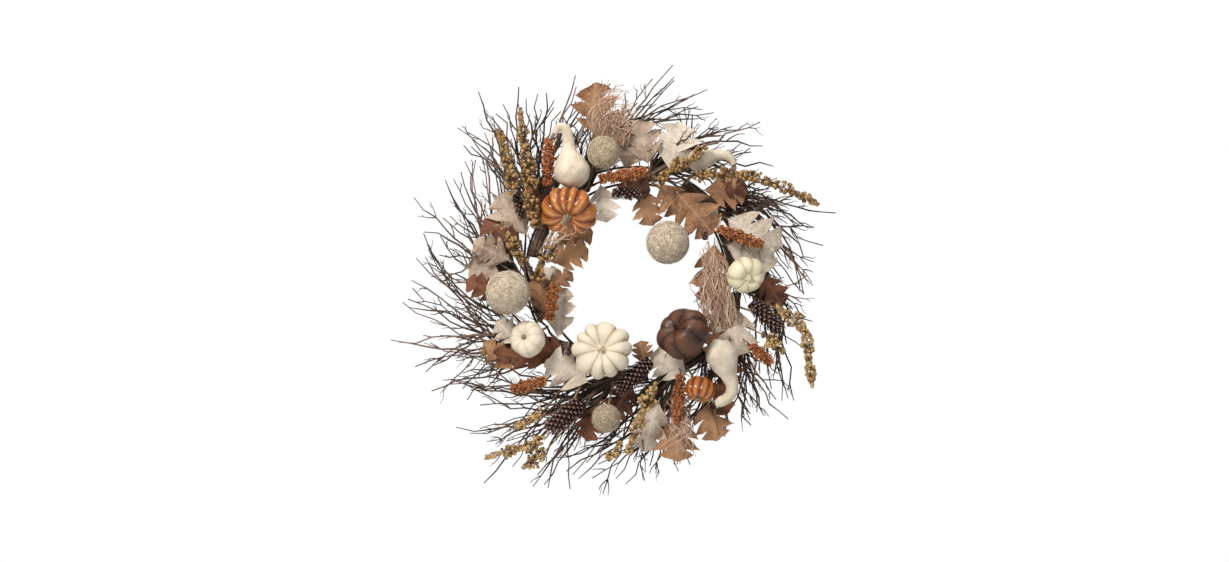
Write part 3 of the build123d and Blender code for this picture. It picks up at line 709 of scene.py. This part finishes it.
# Fibre balls: a rough core wound with fine strands, with loose hairs standing off it.
fibreBalls = {
    "left_fibre_ball": {"seat": (188, 35), "radius": 30.5, "out": 78, "finish": "fibre"},
    "centre_fibre_ball": {"seat": (44, -75), "radius": 30.0, "out": 62, "finish": "fibre"},
    "top_fibre_ball": {"seat": (104, 34), "radius": 23.0, "out": 71, "finish": "gilt"},
    "bottom_fibre_ball": {"seat": (259, 61), "radius": 20.0, "out": 68, "finish": "gilt"},
}
winding = {"strands": 300, "steps": 22, "thickness": 0.34}
strays = {"hairs": 420, "length": (1.5, 3.6), "thickness": 0.16}


def fibreBall(name, shape, seed):
    # strands follow short arcs of great circles: radius * (cos * start + sin * way), wavering a little
    rng = np.random.default_rng(seed)
    centre, radius = onRing(*shape["seat"], shape["out"]), shape["radius"] - 1.0
    ball = Shape()
    lat = np.linspace(-1.5, 1.5, 40)[:, None]
    turn = np.linspace(0, 2 * math.pi, 72, endpoint=False)
    dent = 1 + 0.012 * np.sin(6 * turn + 5 * lat) + 0.010 * np.sin(11 * lat - 4 * turn)
    dent = dent + rng.normal(0, 0.004, (40, 72))
    core = np.stack([np.cos(lat) * np.cos(turn), np.cos(lat) * np.sin(turn), np.sin(lat) + 0 * turn], -1)
    mottle = 0.35 + rng.normal(0, 0.12, (1, 40, 72))
    ball.add((centre + radius * 0.985 * dent[..., None] * core)[None], tone=mottle)
    start = unit(rng.normal(0, 1, (winding["strands"], 3)))
    way = unit(np.cross(start, rng.normal(0, 1, start.shape)))
    span = rng.uniform(0.5, 2.2, winding["strands"])[:, None] * np.linspace(0, 1, winding["steps"])
    sway = 0.20 * np.sin(span * rng.uniform(1.5, 5, (len(span), 1)))
    swirl = np.cross(start, way)[:, None] * sway[..., None]
    arc = unit(np.cos(span)[..., None] * start[:, None] + np.sin(span)[..., None] * way[:, None] + swirl)
    arc = centre + arc * (radius + rng.uniform(0.0, 0.7, (len(span), 1, 1)))
    ball.add(tubes(arc, np.full(arc.shape[:2], winding["thickness"]), 3), tone=rng.random(len(arc)))
    root = unit(rng.normal(0, 1, (strays["hairs"], 3)))
    stray = unit(root * 0.5 + rng.normal(0, 0.6, root.shape))
    s = np.linspace(0, 1, 4)[None, :, None]
    hair = centre + root[:, None] * radius
    hair = hair + stray[:, None] * s * rng.uniform(*strays["length"], (len(root), 1, 1))
    ball.add(tubes(hair, np.full(hair.shape[:2], strays["thickness"]), 3), tone=rng.random(len(hair)))
    ball.build(name.replace("_", "-"), finishes[shape["finish"]], "fibre", name)


for number, (name, shape) in enumerate(fibreBalls.items()):
    fibreBall(name, shape, 60 + number)
print("fibre balls made")

# Pine cones: scales set round a spindle at the golden angle, from its foot's ring place to its tip's.
goldenTurn = math.radians(137.508)
pineCones = {
    "long_pine_cone": {"from": (281, -20), "to": (262, 22), "width": 28, "out": 62, "scales": 150},
    "lower_left_pine_cone": {"from": (248, 48), "to": (241, 104), "width": 29, "out": 62, "scales": 130},
    "right_pine_cone": {"from": (347, 26), "to": (339.5, 75), "width": 27, "out": 61, "scales": 120},
    "top_pine_cone": {"from": (105, -22), "to": (86, -27), "width": 19, "out": 57, "scales": 80},
}
smallCones = [
    {"from": (145.5, 58), "to": (153.5, 32), "width": 16, "out": 50, "scales": 60},
    {"from": (26, -30), "to": (32, -26), "width": 11, "out": 66, "scales": 36},
    {"from": (202, -2), "to": (206, 6), "width": 11, "out": 60, "scales": 36},
    {"from": (228, -12), "to": (230, 4), "width": 13, "out": 53, "scales": 40},
]
coneForm = {"scaleWidth": 0.60, "thickness": 0.45, "spindle": 0.22, "roughness": 0.12}


def coneScales(shape, spec, rng):
    # each scale is a flat tongue carried outwards and towards the tip, widest near its rim, on a spindle
    # whose radius follows the sine of the way along
    start, end = onRing(*spec["from"], spec["out"]), onRing(*spec["to"], spec["out"])
    length = np.linalg.norm(end - start)
    axis = (end - start) / length
    side, lift = (v[0] for v in framesFor(axis[None]))
    n = spec["scales"]
    place = (np.arange(n) + 0.5) / n
    turn = np.arange(n) * goldenTurn
    swell = spec["width"] / 2 * (0.42 + 0.58 * np.sin(math.pi * (0.12 + 0.80 * place)) ** 0.8)
    out = np.cos(turn)[:, None] * side + np.sin(turn)[:, None] * lift
    s = np.linspace(0, 1, 6)[None, :, None]
    foot = start + axis * (length * 0.93 * place)[:, None]
    lean = (0.30 + 0.55 * place)[:, None, None]
    reach = swell[:, None, None] * (0.25 + 0.75 * s)
    path = foot[:, None] + out[:, None] * reach + axis * (swell[:, None, None] * lean * s**1.6)
    path = path + rng.normal(0, coneForm["roughness"], path.shape)
    broad = unit(np.cross(axis, out))
    half = (length / n) ** 0.5 * spec["width"] ** 0.5 * coneForm["scaleWidth"]
    half = half * (0.45 + np.sin(math.pi * s * 0.78)) * (1 - 0.55 * place[:, None, None])
    around = np.linspace(0, 2 * math.pi, 8, endpoint=False)
    thick = coneForm["thickness"] * (1.1 - 0.5 * s)
    up = unit(np.cross(broad[:, None] + 0 * path, np.gradient(path, axis=1)))
    grid = path[:, :, None] + (half * np.cos(around))[..., None] * broad[:, None, None]
    grid = grid + (thick * np.sin(around))[..., None] * up[:, :, None]
    grid = grid - axis * (np.cos(around) ** 2)[None, None, :, None] * half[..., None] * 0.35
    shape.add(grid, along=np.linspace(0.1, 1, 6)[None, :, None], tone=rng.random(n))
    core = curveThrough([start, (start + end) / 2, end], 12)
    thin = spec["width"] * coneForm["spindle"] * np.sin(np.linspace(0.25, 2.95, 12))
    # the spindle takes the darkest, painted-shade end of the scale colours
    shape.add(tubes(core[None], thin[None], 10), along=0.05, tone=0.5)


rng = np.random.default_rng(80)
for name, spec in pineCones.items():
    cone = Shape()
    coneScales(cone, spec, rng)
    cone.build(name.replace("_", "-"), finishes["scale"], "cone", name)
cones = Shape()
for spec in smallCones:
    coneScales(cones, spec, rng)
cones.build("small-pine-cones", finishes["scale"], "cone", "small_pine_cones")
print("cones made")

# Berry sprays: clusters of beads round a wire stem, each bead on its own short stalk. A run's points are
# ring angle, offset and height.
berries = {
    "radius": (2.2, 3.3),
    "perMillimetre": 1.6,
    "clusterRadius": 11.5,
    "stalk": 0.45,
    "stem": (1.2, 0.7),
}
berrySprays = {
    "berry_spray_top_left": {"finish": "berry", "runs": [
        [(143, 12, 20), (137, 50, 70), (130, 95, 66), (125, 134, 60)],
        [(147, 14, 20), (143, 66, 72), (137, 100, 68), (133, 132, 62)]]},
    "berry_spray_left_upper": {"finish": "berry", "runs": [
        [(153, -4, 20), (152, 14, 62), (142, 44, 70), (135, 74, 70)]]},
    "berry_spray_left_middle": {"finish": "berry", "runs": [
        [(176, 2, 20), (172, 16, 70), (165, 34, 74), (159, 56, 72)]]},
    "berry_spray_left_inner": {"finish": "berry", "runs": [
        [(184, 0, 20), (180, -6, 60), (168, -16, 64), (155, -30, 62)]]},
    "berry_spray_top": {"finish": "berry", "runs": [
        [(84, 0, 20), (76, -6, 60), (70, 20, 62), (64, 34, 78), (61, 62, 78)]]},
    "berry_spray_top_right": {"finish": "berry", "runs": [
        [(66, 0, 20), (56, 26, 78), (45, 56, 80), (34, 87, 70), (26, 112, 64), (21, 131, 60)]]},
    "berry_spray_right": {"finish": "berryPale", "runs": [
        [(352, 10, 20), (346, 69, 60), (342, 106, 62), (334, 128, 60), (328, 150, 56)],
        [(335, 6, 20), (335, 60, 60), (332.5, 94, 58)]]},
    "berry_spray_bottom": {"finish": "berryPale", "runs": [
        [(286, 10, 20), (279, 20, 84), (272, 60, 68), (268, 104, 62)],
        [(268, 40, 20), (265.5, 96, 58), (262, 116, 56)]]},
    "berry_spray_bottom_left": {"finish": "berryPale", "runs": [
        [(244, 50, 20), (240, 124, 54), (236, 150, 54), (231, 184, 50)],
        [(238, 30, 20), (236, 90, 56), (232, 125, 54)],
        [(248, 70, 20), (243, 136, 50), (240, 168, 46)]]},
}


def spray(shape, run, rng):
    # beads sit at random distances round a smooth stem; the cluster narrows to its tip with a square root
    stem = curveThrough([onRing(*place) for place in run], 40)
    shape.add(tubes(stem[None], np.linspace(*berries["stem"], 40)[None], 5), tone=0.05)
    begin = 40 // (len(run) - 1)
    bearing = stem[begin - 2:]
    length = np.linalg.norm(np.diff(bearing, axis=0), axis=-1).sum()
    n = int(length * berries["perMillimetre"])
    s = np.sort(rng.random(n)) ** 0.93
    at = s * (len(bearing) - 1.001)
    i = at.astype(int)
    centre = bearing[i] + (bearing[i + 1] - bearing[i]) * (at - i)[:, None]
    way = unit(bearing[i + 1] - bearing[i])
    side, lift = framesFor(way)
    turn = rng.uniform(0, 2 * math.pi, n)
    clump = 0.72 + 0.34 * np.sin(s * length / 6.5 + rng.uniform(0, 6))
    away = berries["clusterRadius"] * clump * np.sqrt(rng.uniform(0.15, 1, n)) * (1 - 0.55 * s**2)
    out = np.cos(turn)[:, None] * side + np.sin(turn)[:, None] * lift
    where = centre + out * away[:, None] + way * rng.normal(0, 1.5, n)[:, None]
    size = rng.uniform(*berries["radius"], n) * (1 - 0.22 * s)
    shape.add(beads(where, unit(out + 0.4 * way), size, size, 7, 9), tone=rng.random(n))
    t = np.linspace(0, 1, 3)[None, :, None]
    stalks = centre[:, None] + (where - centre)[:, None] * t
    shape.add(tubes(stalks, np.full((n, 3), berries["stalk"]), 3), tone=0.0)
    return n


berryCount = 0
for number, (name, spec) in enumerate(berrySprays.items()):
    rng = np.random.default_rng(200 + number)
    cluster = Shape()
    berryCount += sum(spray(cluster, run, rng) for run in spec["runs"])
    cluster.build(name.replace("_", "-"), finishes[spec["finish"]], "berry", name)
print("berries made:", berryCount)

# Seed spikes: rough rust-coloured heads, each on a wire stem from the bundle below.
seedHead = {
    "width": 21.0,
    "perMillimetre": 7.0,
    "seed": (1.0, 1.9),
    "core": 0.26,
    "stem": 1.1,
    "footOut": 20.0,
}
seedSpikes = {
    "seed_spike_top_left": [{"foot": (134, 20), "from": (134, 32), "to": (122, 82), "out": 58}],
    "seed_spike_top": [{"foot": (79, -2), "from": (83, 4), "to": (110, 0), "out": 72}],
    "seed_spike_right": [
        {"foot": (31, -4), "from": (29, -8), "to": (13, 42), "out": 62},
        {"foot": (330, 14), "from": (329, 48), "to": (327, 86), "out": 56},
    ],
    "seed_spike_left_inner": [{"foot": (205, -4), "from": (208, -6), "to": (186, -30), "out": 58}],
    "seed_spike_left_lower": [{"foot": (230, 30), "from": (230, 50), "to": (223, 92), "out": 56}],
    "seed_spike_bottom": [{"foot": (296, 2), "from": (295, 12), "to": (286, 74), "out": 60}],
}


def seedSpike(shape, spec, rng):
    # seeds stand all over a spindle whose radius is width / 2 * (0.35 + 0.65 * sine), in knots
    start, end = onRing(*spec["from"], spec["out"]), onRing(*spec["to"], spec["out"])
    foot = onRing(*spec["foot"], seedHead["footOut"])
    middle = (start + end) / 2 + outward * rng.uniform(1, 3)
    line = curveThrough([start, middle, end], 30)
    stem = curveThrough([foot, start, middle], 16)
    shape.add(tubes(stem[None], np.full((1, 16), seedHead["stem"]), 5), tone=0.1)
    length = np.linalg.norm(end - start)
    core = seedHead["width"] * seedHead["core"] * np.sin(np.linspace(0.3, 2.95, 30))
    shape.add(tubes(line[None], core[None], 9), tone=0.15)
    n = int(length * seedHead["perMillimetre"])
    s = rng.random(n)
    at = s * (len(line) - 1.001)
    i = at.astype(int)
    centre = line[i] + (line[i + 1] - line[i]) * (at - i)[:, None]
    way = unit(line[i + 1] - line[i])
    side, lift = framesFor(way)
    turn = rng.uniform(0, 2 * math.pi, n)
    out = np.cos(turn)[:, None] * side + np.sin(turn)[:, None] * lift
    knot = 0.80 + 0.20 * np.sin(s * length / 2.3 + 2 * turn)
    swell = seedHead["width"] / 2 * (0.40 + 0.60 * np.sin(math.pi * (0.10 + 0.82 * s))) * knot
    where = centre + out * (swell * rng.uniform(0.62, 1.0, n))[:, None]
    size = rng.uniform(*seedHead["seed"], n)
    leaning = unit(out + 0.6 * way + rng.normal(0, 0.3, out.shape))
    shape.add(beads(where, leaning, size * 1.35, size * 0.8, 4, 5), tone=rng.random(n))
    return n


seedCount = 0
for number, (name, specs) in enumerate(seedSpikes.items()):
    rng = np.random.default_rng(300 + number)
    heads = Shape()
    seedCount += sum(seedSpike(heads, spec, rng) for spec in specs)
    heads.build(name.replace("_", "-"), finishes["seed"], "seed", name)
print("seeds made:", seedCount)

# Root fibre: tangled pale strands; the curl on the left stands in for no node.
rootTufts = {
    "root_tuft_top": {
        "run": [(96, 20, 20), (98, 50, 48), (98, 82, 62), (90, 108, 60)],
        "spread": (6, 14, 22, 24), "strands": 64,
    },
    "root_tuft_right": {
        "run": [(321, 12, 24), (334, -8, 46), (350, -26, 58), (8, -32, 60), (26, -34, 56)],
        "spread": (13, 15, 14, 12, 9), "strands": 90,
    },
    "root_tuft_bottom": {
        "run": [(288, 36, 20), (288, 66, 52), (287, 90, 62), (284, 116, 54)],
        "spread": (4, 9, 12, 17), "strands": 40,
    },
    "root-curl-left": {
        "run": [(168, -20, 52), (157, -18, 70), (146, -26, 86), (139, -30, 92)],
        "spread": (7, 7, 8, 8), "strands": 12,
    },
}


def rootTuft(name, spec, seed):
    # strands keep a place across the tuft and waver about it as sums of three sines of the way along
    rng = np.random.default_rng(seed)
    n, steps = spec["strands"], 34
    middle = curveThrough([onRing(*place) for place in spec["run"]], steps)
    spread = curveThrough([(w, 0, 0) for w in spec["spread"]], steps)[:, 0]
    way = unit(np.gradient(middle, axis=0))
    side = unit(np.cross(way, outward))
    t = np.linspace(0, 1, steps)
    one = (n, 1)
    seat = rng.uniform(-1, 1, one) + 0.5 * np.sin(t * rng.uniform(5, 14, one) + rng.uniform(0, 6, one))
    wave = sum(rng.normal(0, 4.6 / k, one) * np.sin(t * k * 7 + rng.uniform(0, 6, one)) for k in (1, 2, 3))
    rise = rng.uniform(-3, 5, one) + 1.6 * np.sin(t * rng.uniform(6, 18, one) + rng.uniform(0, 6, one))
    paths = middle + side * (seat * spread + wave)[..., None] + outward * rise[..., None]
    begin, end = rng.uniform(0, 0.25, n), rng.uniform(0.6, 1.0, n)
    pick = (begin[:, None] + (end - begin)[:, None] * np.linspace(0, 1, steps)) * (steps - 1)
    low = np.minimum(pick.astype(int), steps - 2)
    part = (pick - low)[..., None]
    row = np.arange(n)[:, None]
    paths = paths[row, low] * (1 - part) + paths[row, low + 1] * part
    tuft = Shape()
    thick = np.linspace(0.85, 0.35, steps)[None] * rng.uniform(0.6, 1.2, one)
    tuft.add(tubes(paths, thick, 4), tone=rng.random(n))
    branches = shootsFrom(paths[:, ::2], 1, (6, 18), rng)
    thin = np.linspace(0.45, 0.25, 6)[None] * np.ones((len(branches), 1))
    tuft.add(tubes(branches, thin, 3), tone=rng.random(len(branches)))
    nodes = [name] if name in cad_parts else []
    tuft.build(name.replace("_", "-"), finishes["root"], "root", *nodes)


for number, (name, spec) in enumerate(rootTufts.items()):
    rootTuft(name, spec, 400 + number)
print("root fibre made")

# Oak leaves: a blade is ring angle, offset, heading, length, width and layer.
leaves = {
    "cream_leaves_top": {"finish": "flock", "slot": "leaf_cream", "blades": [
        (72, 10, 75, 72, 66, 2), (110, -1, 280, 58, 44, 1)]},
    "cream_leaves_right": {"finish": "flock", "slot": "leaf_cream", "blades": [
        (34, 7, 333, 94, 70, 4), (20, -11, 341, 82, 52, 1), (28, -2, 128, 36, 26, 7)]},
    "cream_leaves_lower_right": {"finish": "flock", "slot": "leaf_cream", "blades": [
        (345, 6, 270, 76, 62, 3), (299, 22, 150, 64, 54, 1)]},
    "cream_leaves_bottom": {"finish": "flock", "slot": "leaf_cream", "blades": [
        (282, 34, 254, 78, 56, 2), (249, 22, 155, 72, 66, 5)]},
    "cream_leaves_left": {"finish": "flock", "slot": "leaf_cream", "blades": [
        (221, 2, 81, 76, 42, 1), (212, 40, 140, 50, 40, 4), (196, -6, 70, 52, 40, 0)]},
    "taupe_leaves": {"finish": "taupe", "slot": "leaf_taupe", "blades": [
        (82, 10, 102, 68, 54, 4), (161, 14, 122, 74, 68, 3), (174, 28, 153, 62, 48, 5),
        (181, 40, 163, 54, 44, 1),
        (96, 4, 70, 60, 50, 1)]},
    "burlap_leaves_top": {"finish": "burlap", "slot": "leaf_burlap", "blades": [
        (103, 44, 98, 88, 66, 2), (84, -16, 283, 56, 46, 1), (66, -8, 311, 84, 68, 6),
        (52, 10, 0, 66, 52, 1),
        (75, -4, 300, 54, 52, 1)]},
    "burlap_leaves_left": {"finish": "burlap", "slot": "leaf_burlap", "blades": [
        (172, -18, 18, 60, 48, 4), (190, -16, 34, 44, 30, 6), (157, -16, 12, 58, 46, 1),
        (219, 72, 137, 60, 36, 1),
        (205, -2, 96, 56, 40, 0)]},
    "burlap_leaves_lower": {"finish": "burlap", "slot": "leaf_burlap", "blades": [
        (25, -16, 268, 98, 54, 5), (277, -12, 100, 36, 32, 6), (288, 58, 270, 70, 64, 6),
        (299, 54, 289, 64, 54, 3),
        (338, 2, 250, 66, 50, 1)]},
    "brown_leaves": {"finish": "hide", "slot": "leaf_brown", "blades": [
        (47, 16, 9, 52, 40, 2), (1, 32, 305, 58, 42, 6), (190, 48, 153, 54, 38, 3),
        (227, 24, 171, 84, 34, 2),
        (306, 38, 300, 54, 40, 5), (255, 42, 252, 58, 42, 3), (168, 16, 140, 72, 58, 1),
        (232, 4, 160, 70, 48, 0),
        (270, 6, 240, 62, 50, 0), (322, 14, 280, 60, 46, 0), (103, -12, 352, 52, 40, 0),
        (152, 4, 110, 60, 50, 0)]},
}
leafForm = {
    "rows": 110,
    "across": 9,
    "thickness": 0.75,
    "floor": 30.0,
    "step": 1.6,
    "lowest": 26.0,
    "lobes": 3.15,
    "sinus": 0.72,
    "tooth": 0.20,
    "lean": (34, 10),
    "curl": 0.10,
    "foot": 0.10,
}


def oakLeaf(shape, angle, offset, heading, length, width, layer, rng):
    # half width: an arch over the blade times (1 - sinus * d^2.3), d being how far a row is from its lobe's
    # point; rows lean forwards like the side veins. The blade cups with the square of the distance from its
    # midrib, arches along its length and ripples at its rim.
    rows, half = leafForm["rows"], leafForm["across"]
    s = np.linspace(0, 1, rows)[:, None]
    blade = np.clip((s - leafForm["foot"]) / (1 - leafForm["foot"]), 0, 1)
    v = np.concatenate([np.linspace(-1, 1, 2 * half + 1), np.linspace(1, -1, 2 * half + 1)])
    top = np.concatenate([np.ones(2 * half + 1), -np.ones(2 * half + 1)])
    phase = np.where(v > 0, rng.uniform(-0.12, 0.12), rng.uniform(-0.12, 0.12) + 0.1)
    wave = leafForm["lobes"] * blade ** 0.92 + 0.38 + phase
    lobe = 1 - leafForm["sinus"] * (2 * np.abs(wave - np.round(wave))) ** 2.3 * (1 - 0.25 * blade)
    tooth = 1 - leafForm["tooth"] * np.abs(np.sin(2.5 * math.pi * wave)) ** 0.6 * np.sin(math.pi * blade)
    arch = np.sin(math.pi * blade**0.75) ** 0.55
    lean = np.radians(leafForm["lean"][0] - leafForm["lean"][1] * blade)
    spanning = 0.7 + width * 0.56 / np.cos(lean) * arch * lobe * tooth
    fray = rng.normal(0, 0.35, (rows, 1)) + 0.5 * np.sin(s * length * 2.1 + rng.uniform(0, 6))
    spanning = np.maximum(spanning + fray * np.sin(math.pi * blade), 0.5)
    forward, side = along(heading), along(heading - 90)
    across = v * spanning
    rise = leafForm["floor"] + layer * leafForm["step"]
    cup, droop, twist = rng.uniform(-0.5, 1.0), rng.uniform(-0.4, 0.8), rng.normal(0, 0.7)
    ripple = 0.55 * np.abs(v) ** 1.5 * np.sin(2 * math.pi * (blade * 2.1 + rng.random()))
    bulge = leafForm["curl"] * width * (cup * v**2 * arch + ripple)
    hump = leafForm["curl"] * length * (np.sin(math.pi * blade * 0.9) * 0.8 - droop * blade**2)
    hump = hump + twist * v * blade * 5
    mid = onRing(angle, offset, 0.0) + forward * (s * length)[..., None]
    mid = mid + side * (np.sin(math.pi * blade) * rng.normal(0, 0.03) * length)[..., None]
    ahead = np.abs(across) * np.sin(lean) * (1 - blade**3)
    grid = mid + side * (across * np.cos(lean))[..., None] + forward * ahead[..., None]
    lift = np.maximum(rise + bulge + hump, leafForm["lowest"]) + top * leafForm["thickness"] / 2
    grid = grid + outward * lift[..., None]
    tipward = 2 * np.abs(wave - np.round(wave))
    vein = np.minimum(np.abs(v) * 1.6, tipward * 1.4 + 0.1) + 0 * blade
    marks = {"lengthwise": s * length + np.abs(across) * 0.5, "across": across, "vein": vein}
    shape.add(grid[None], tone=rng.random(), **{k: m[None] for k, m in marks.items()})


for number, (name, spec) in enumerate(leaves.items()):
    rng = np.random.default_rng(500 + number)
    foliage = Shape()
    for blade in spec["blades"]:
        oakLeaf(foliage, *blade, rng)
    foliage.build(name.replace("_", "-"), finishes[spec["finish"]], spec["slot"], name)
print("leaves made")

# A pale floor far below, a white surround, four lamps and a long camera.
studio = {
    "floorDrop": 0.45,
    "floorSize": 3.4,
    "distance": 4.0,
    "viewWidth": 1.692,
    "sensor": 36.0,
    "aim": (-26.9, -8.3),
    "world": 0.30,
}
low = cadBox[0][2] - studio["floorDrop"]
bpy.ops.mesh.primitive_plane_add(size=studio["floorSize"], location=(0, 0, low))
floor = bpy.context.object
floor.name = "floor"
pale = Finish("pale_floor", Roughness=0.9)
pale.set(Base_Color=pale.mix(pale.noise(3) * 0.1, (0.86, 0.86, 0.86), (0.80, 0.80, 0.80)))
floor.data.materials.append(pale.material)

world = bpy.data.worlds.new("studio")
bpy.context.scene.world = world
world.use_nodes = True
nodes, links = world.node_tree.nodes, world.node_tree.links
seen, glow = nodes["Background"], nodes.new("ShaderNodeBackground")
seen.inputs["Color"].default_value = (1, 1, 1, 1)
seen.inputs["Strength"].default_value = 1.0
glow.inputs["Color"].default_value = (1.0, 0.965, 0.925, 1)
glow.inputs["Strength"].default_value = studio["world"]
path, blend = nodes.new("ShaderNodeLightPath"), nodes.new("ShaderNodeMixShader")
links.new(path.outputs["Is Camera Ray"], blend.inputs[0])
links.new(glow.outputs[0], blend.inputs[1])
links.new(seen.outputs[0], blend.inputs[2])
links.new(blend.outputs[0], nodes["World Output"].inputs["Surface"])

lights = {
    "key": {"place": (-1.1, -1.7, 1.0), "size": 0.7, "power": 45, "colour": (1.0, 0.95, 0.88)},
    "fill": {"place": (1.5, -1.9, 0.2), "size": 1.6, "power": 7, "colour": (0.96, 0.98, 1.0)},
    "top": {"place": (0.1, -0.5, 1.6), "size": 1.0, "power": 14, "colour": (1.0, 0.99, 0.97)},
    "back": {"place": (0.5, 1.9, 0.9), "size": 1.4, "power": 12, "colour": (1.0, 1.0, 1.0)},
}
for name, spec in lights.items():
    lamp = bpy.data.lights.new(name, "AREA")
    lamp.size, lamp.energy, lamp.color = spec["size"], spec["power"], spec["colour"]
    holder = bpy.data.objects.new(name, lamp)
    bpy.context.scene.collection.objects.link(holder)
    holder.location = spec["place"]
    aim = holder.location.copy()
    aim.z -= ringZ
    holder.rotation_euler = aim.to_track_quat("Z", "Y").to_euler()

camera = bpy.data.cameras.new("camera")
camera.sensor_width = studio["sensor"]
camera.lens = studio["distance"] * studio["sensor"] / studio["viewWidth"]
viewer = bpy.data.objects.new("camera", camera)
bpy.context.scene.collection.objects.link(viewer)
right, up = studio["aim"]
viewer.location = (ringX + right * mm, doorY - 0.05 - studio["distance"], ringZ + up * mm)
viewer.rotation_euler = (math.pi / 2, 0, 0)
bpy.context.scene.camera = viewer
bpy.context.scene.view_settings.view_transform = "Standard"
print("studio set")
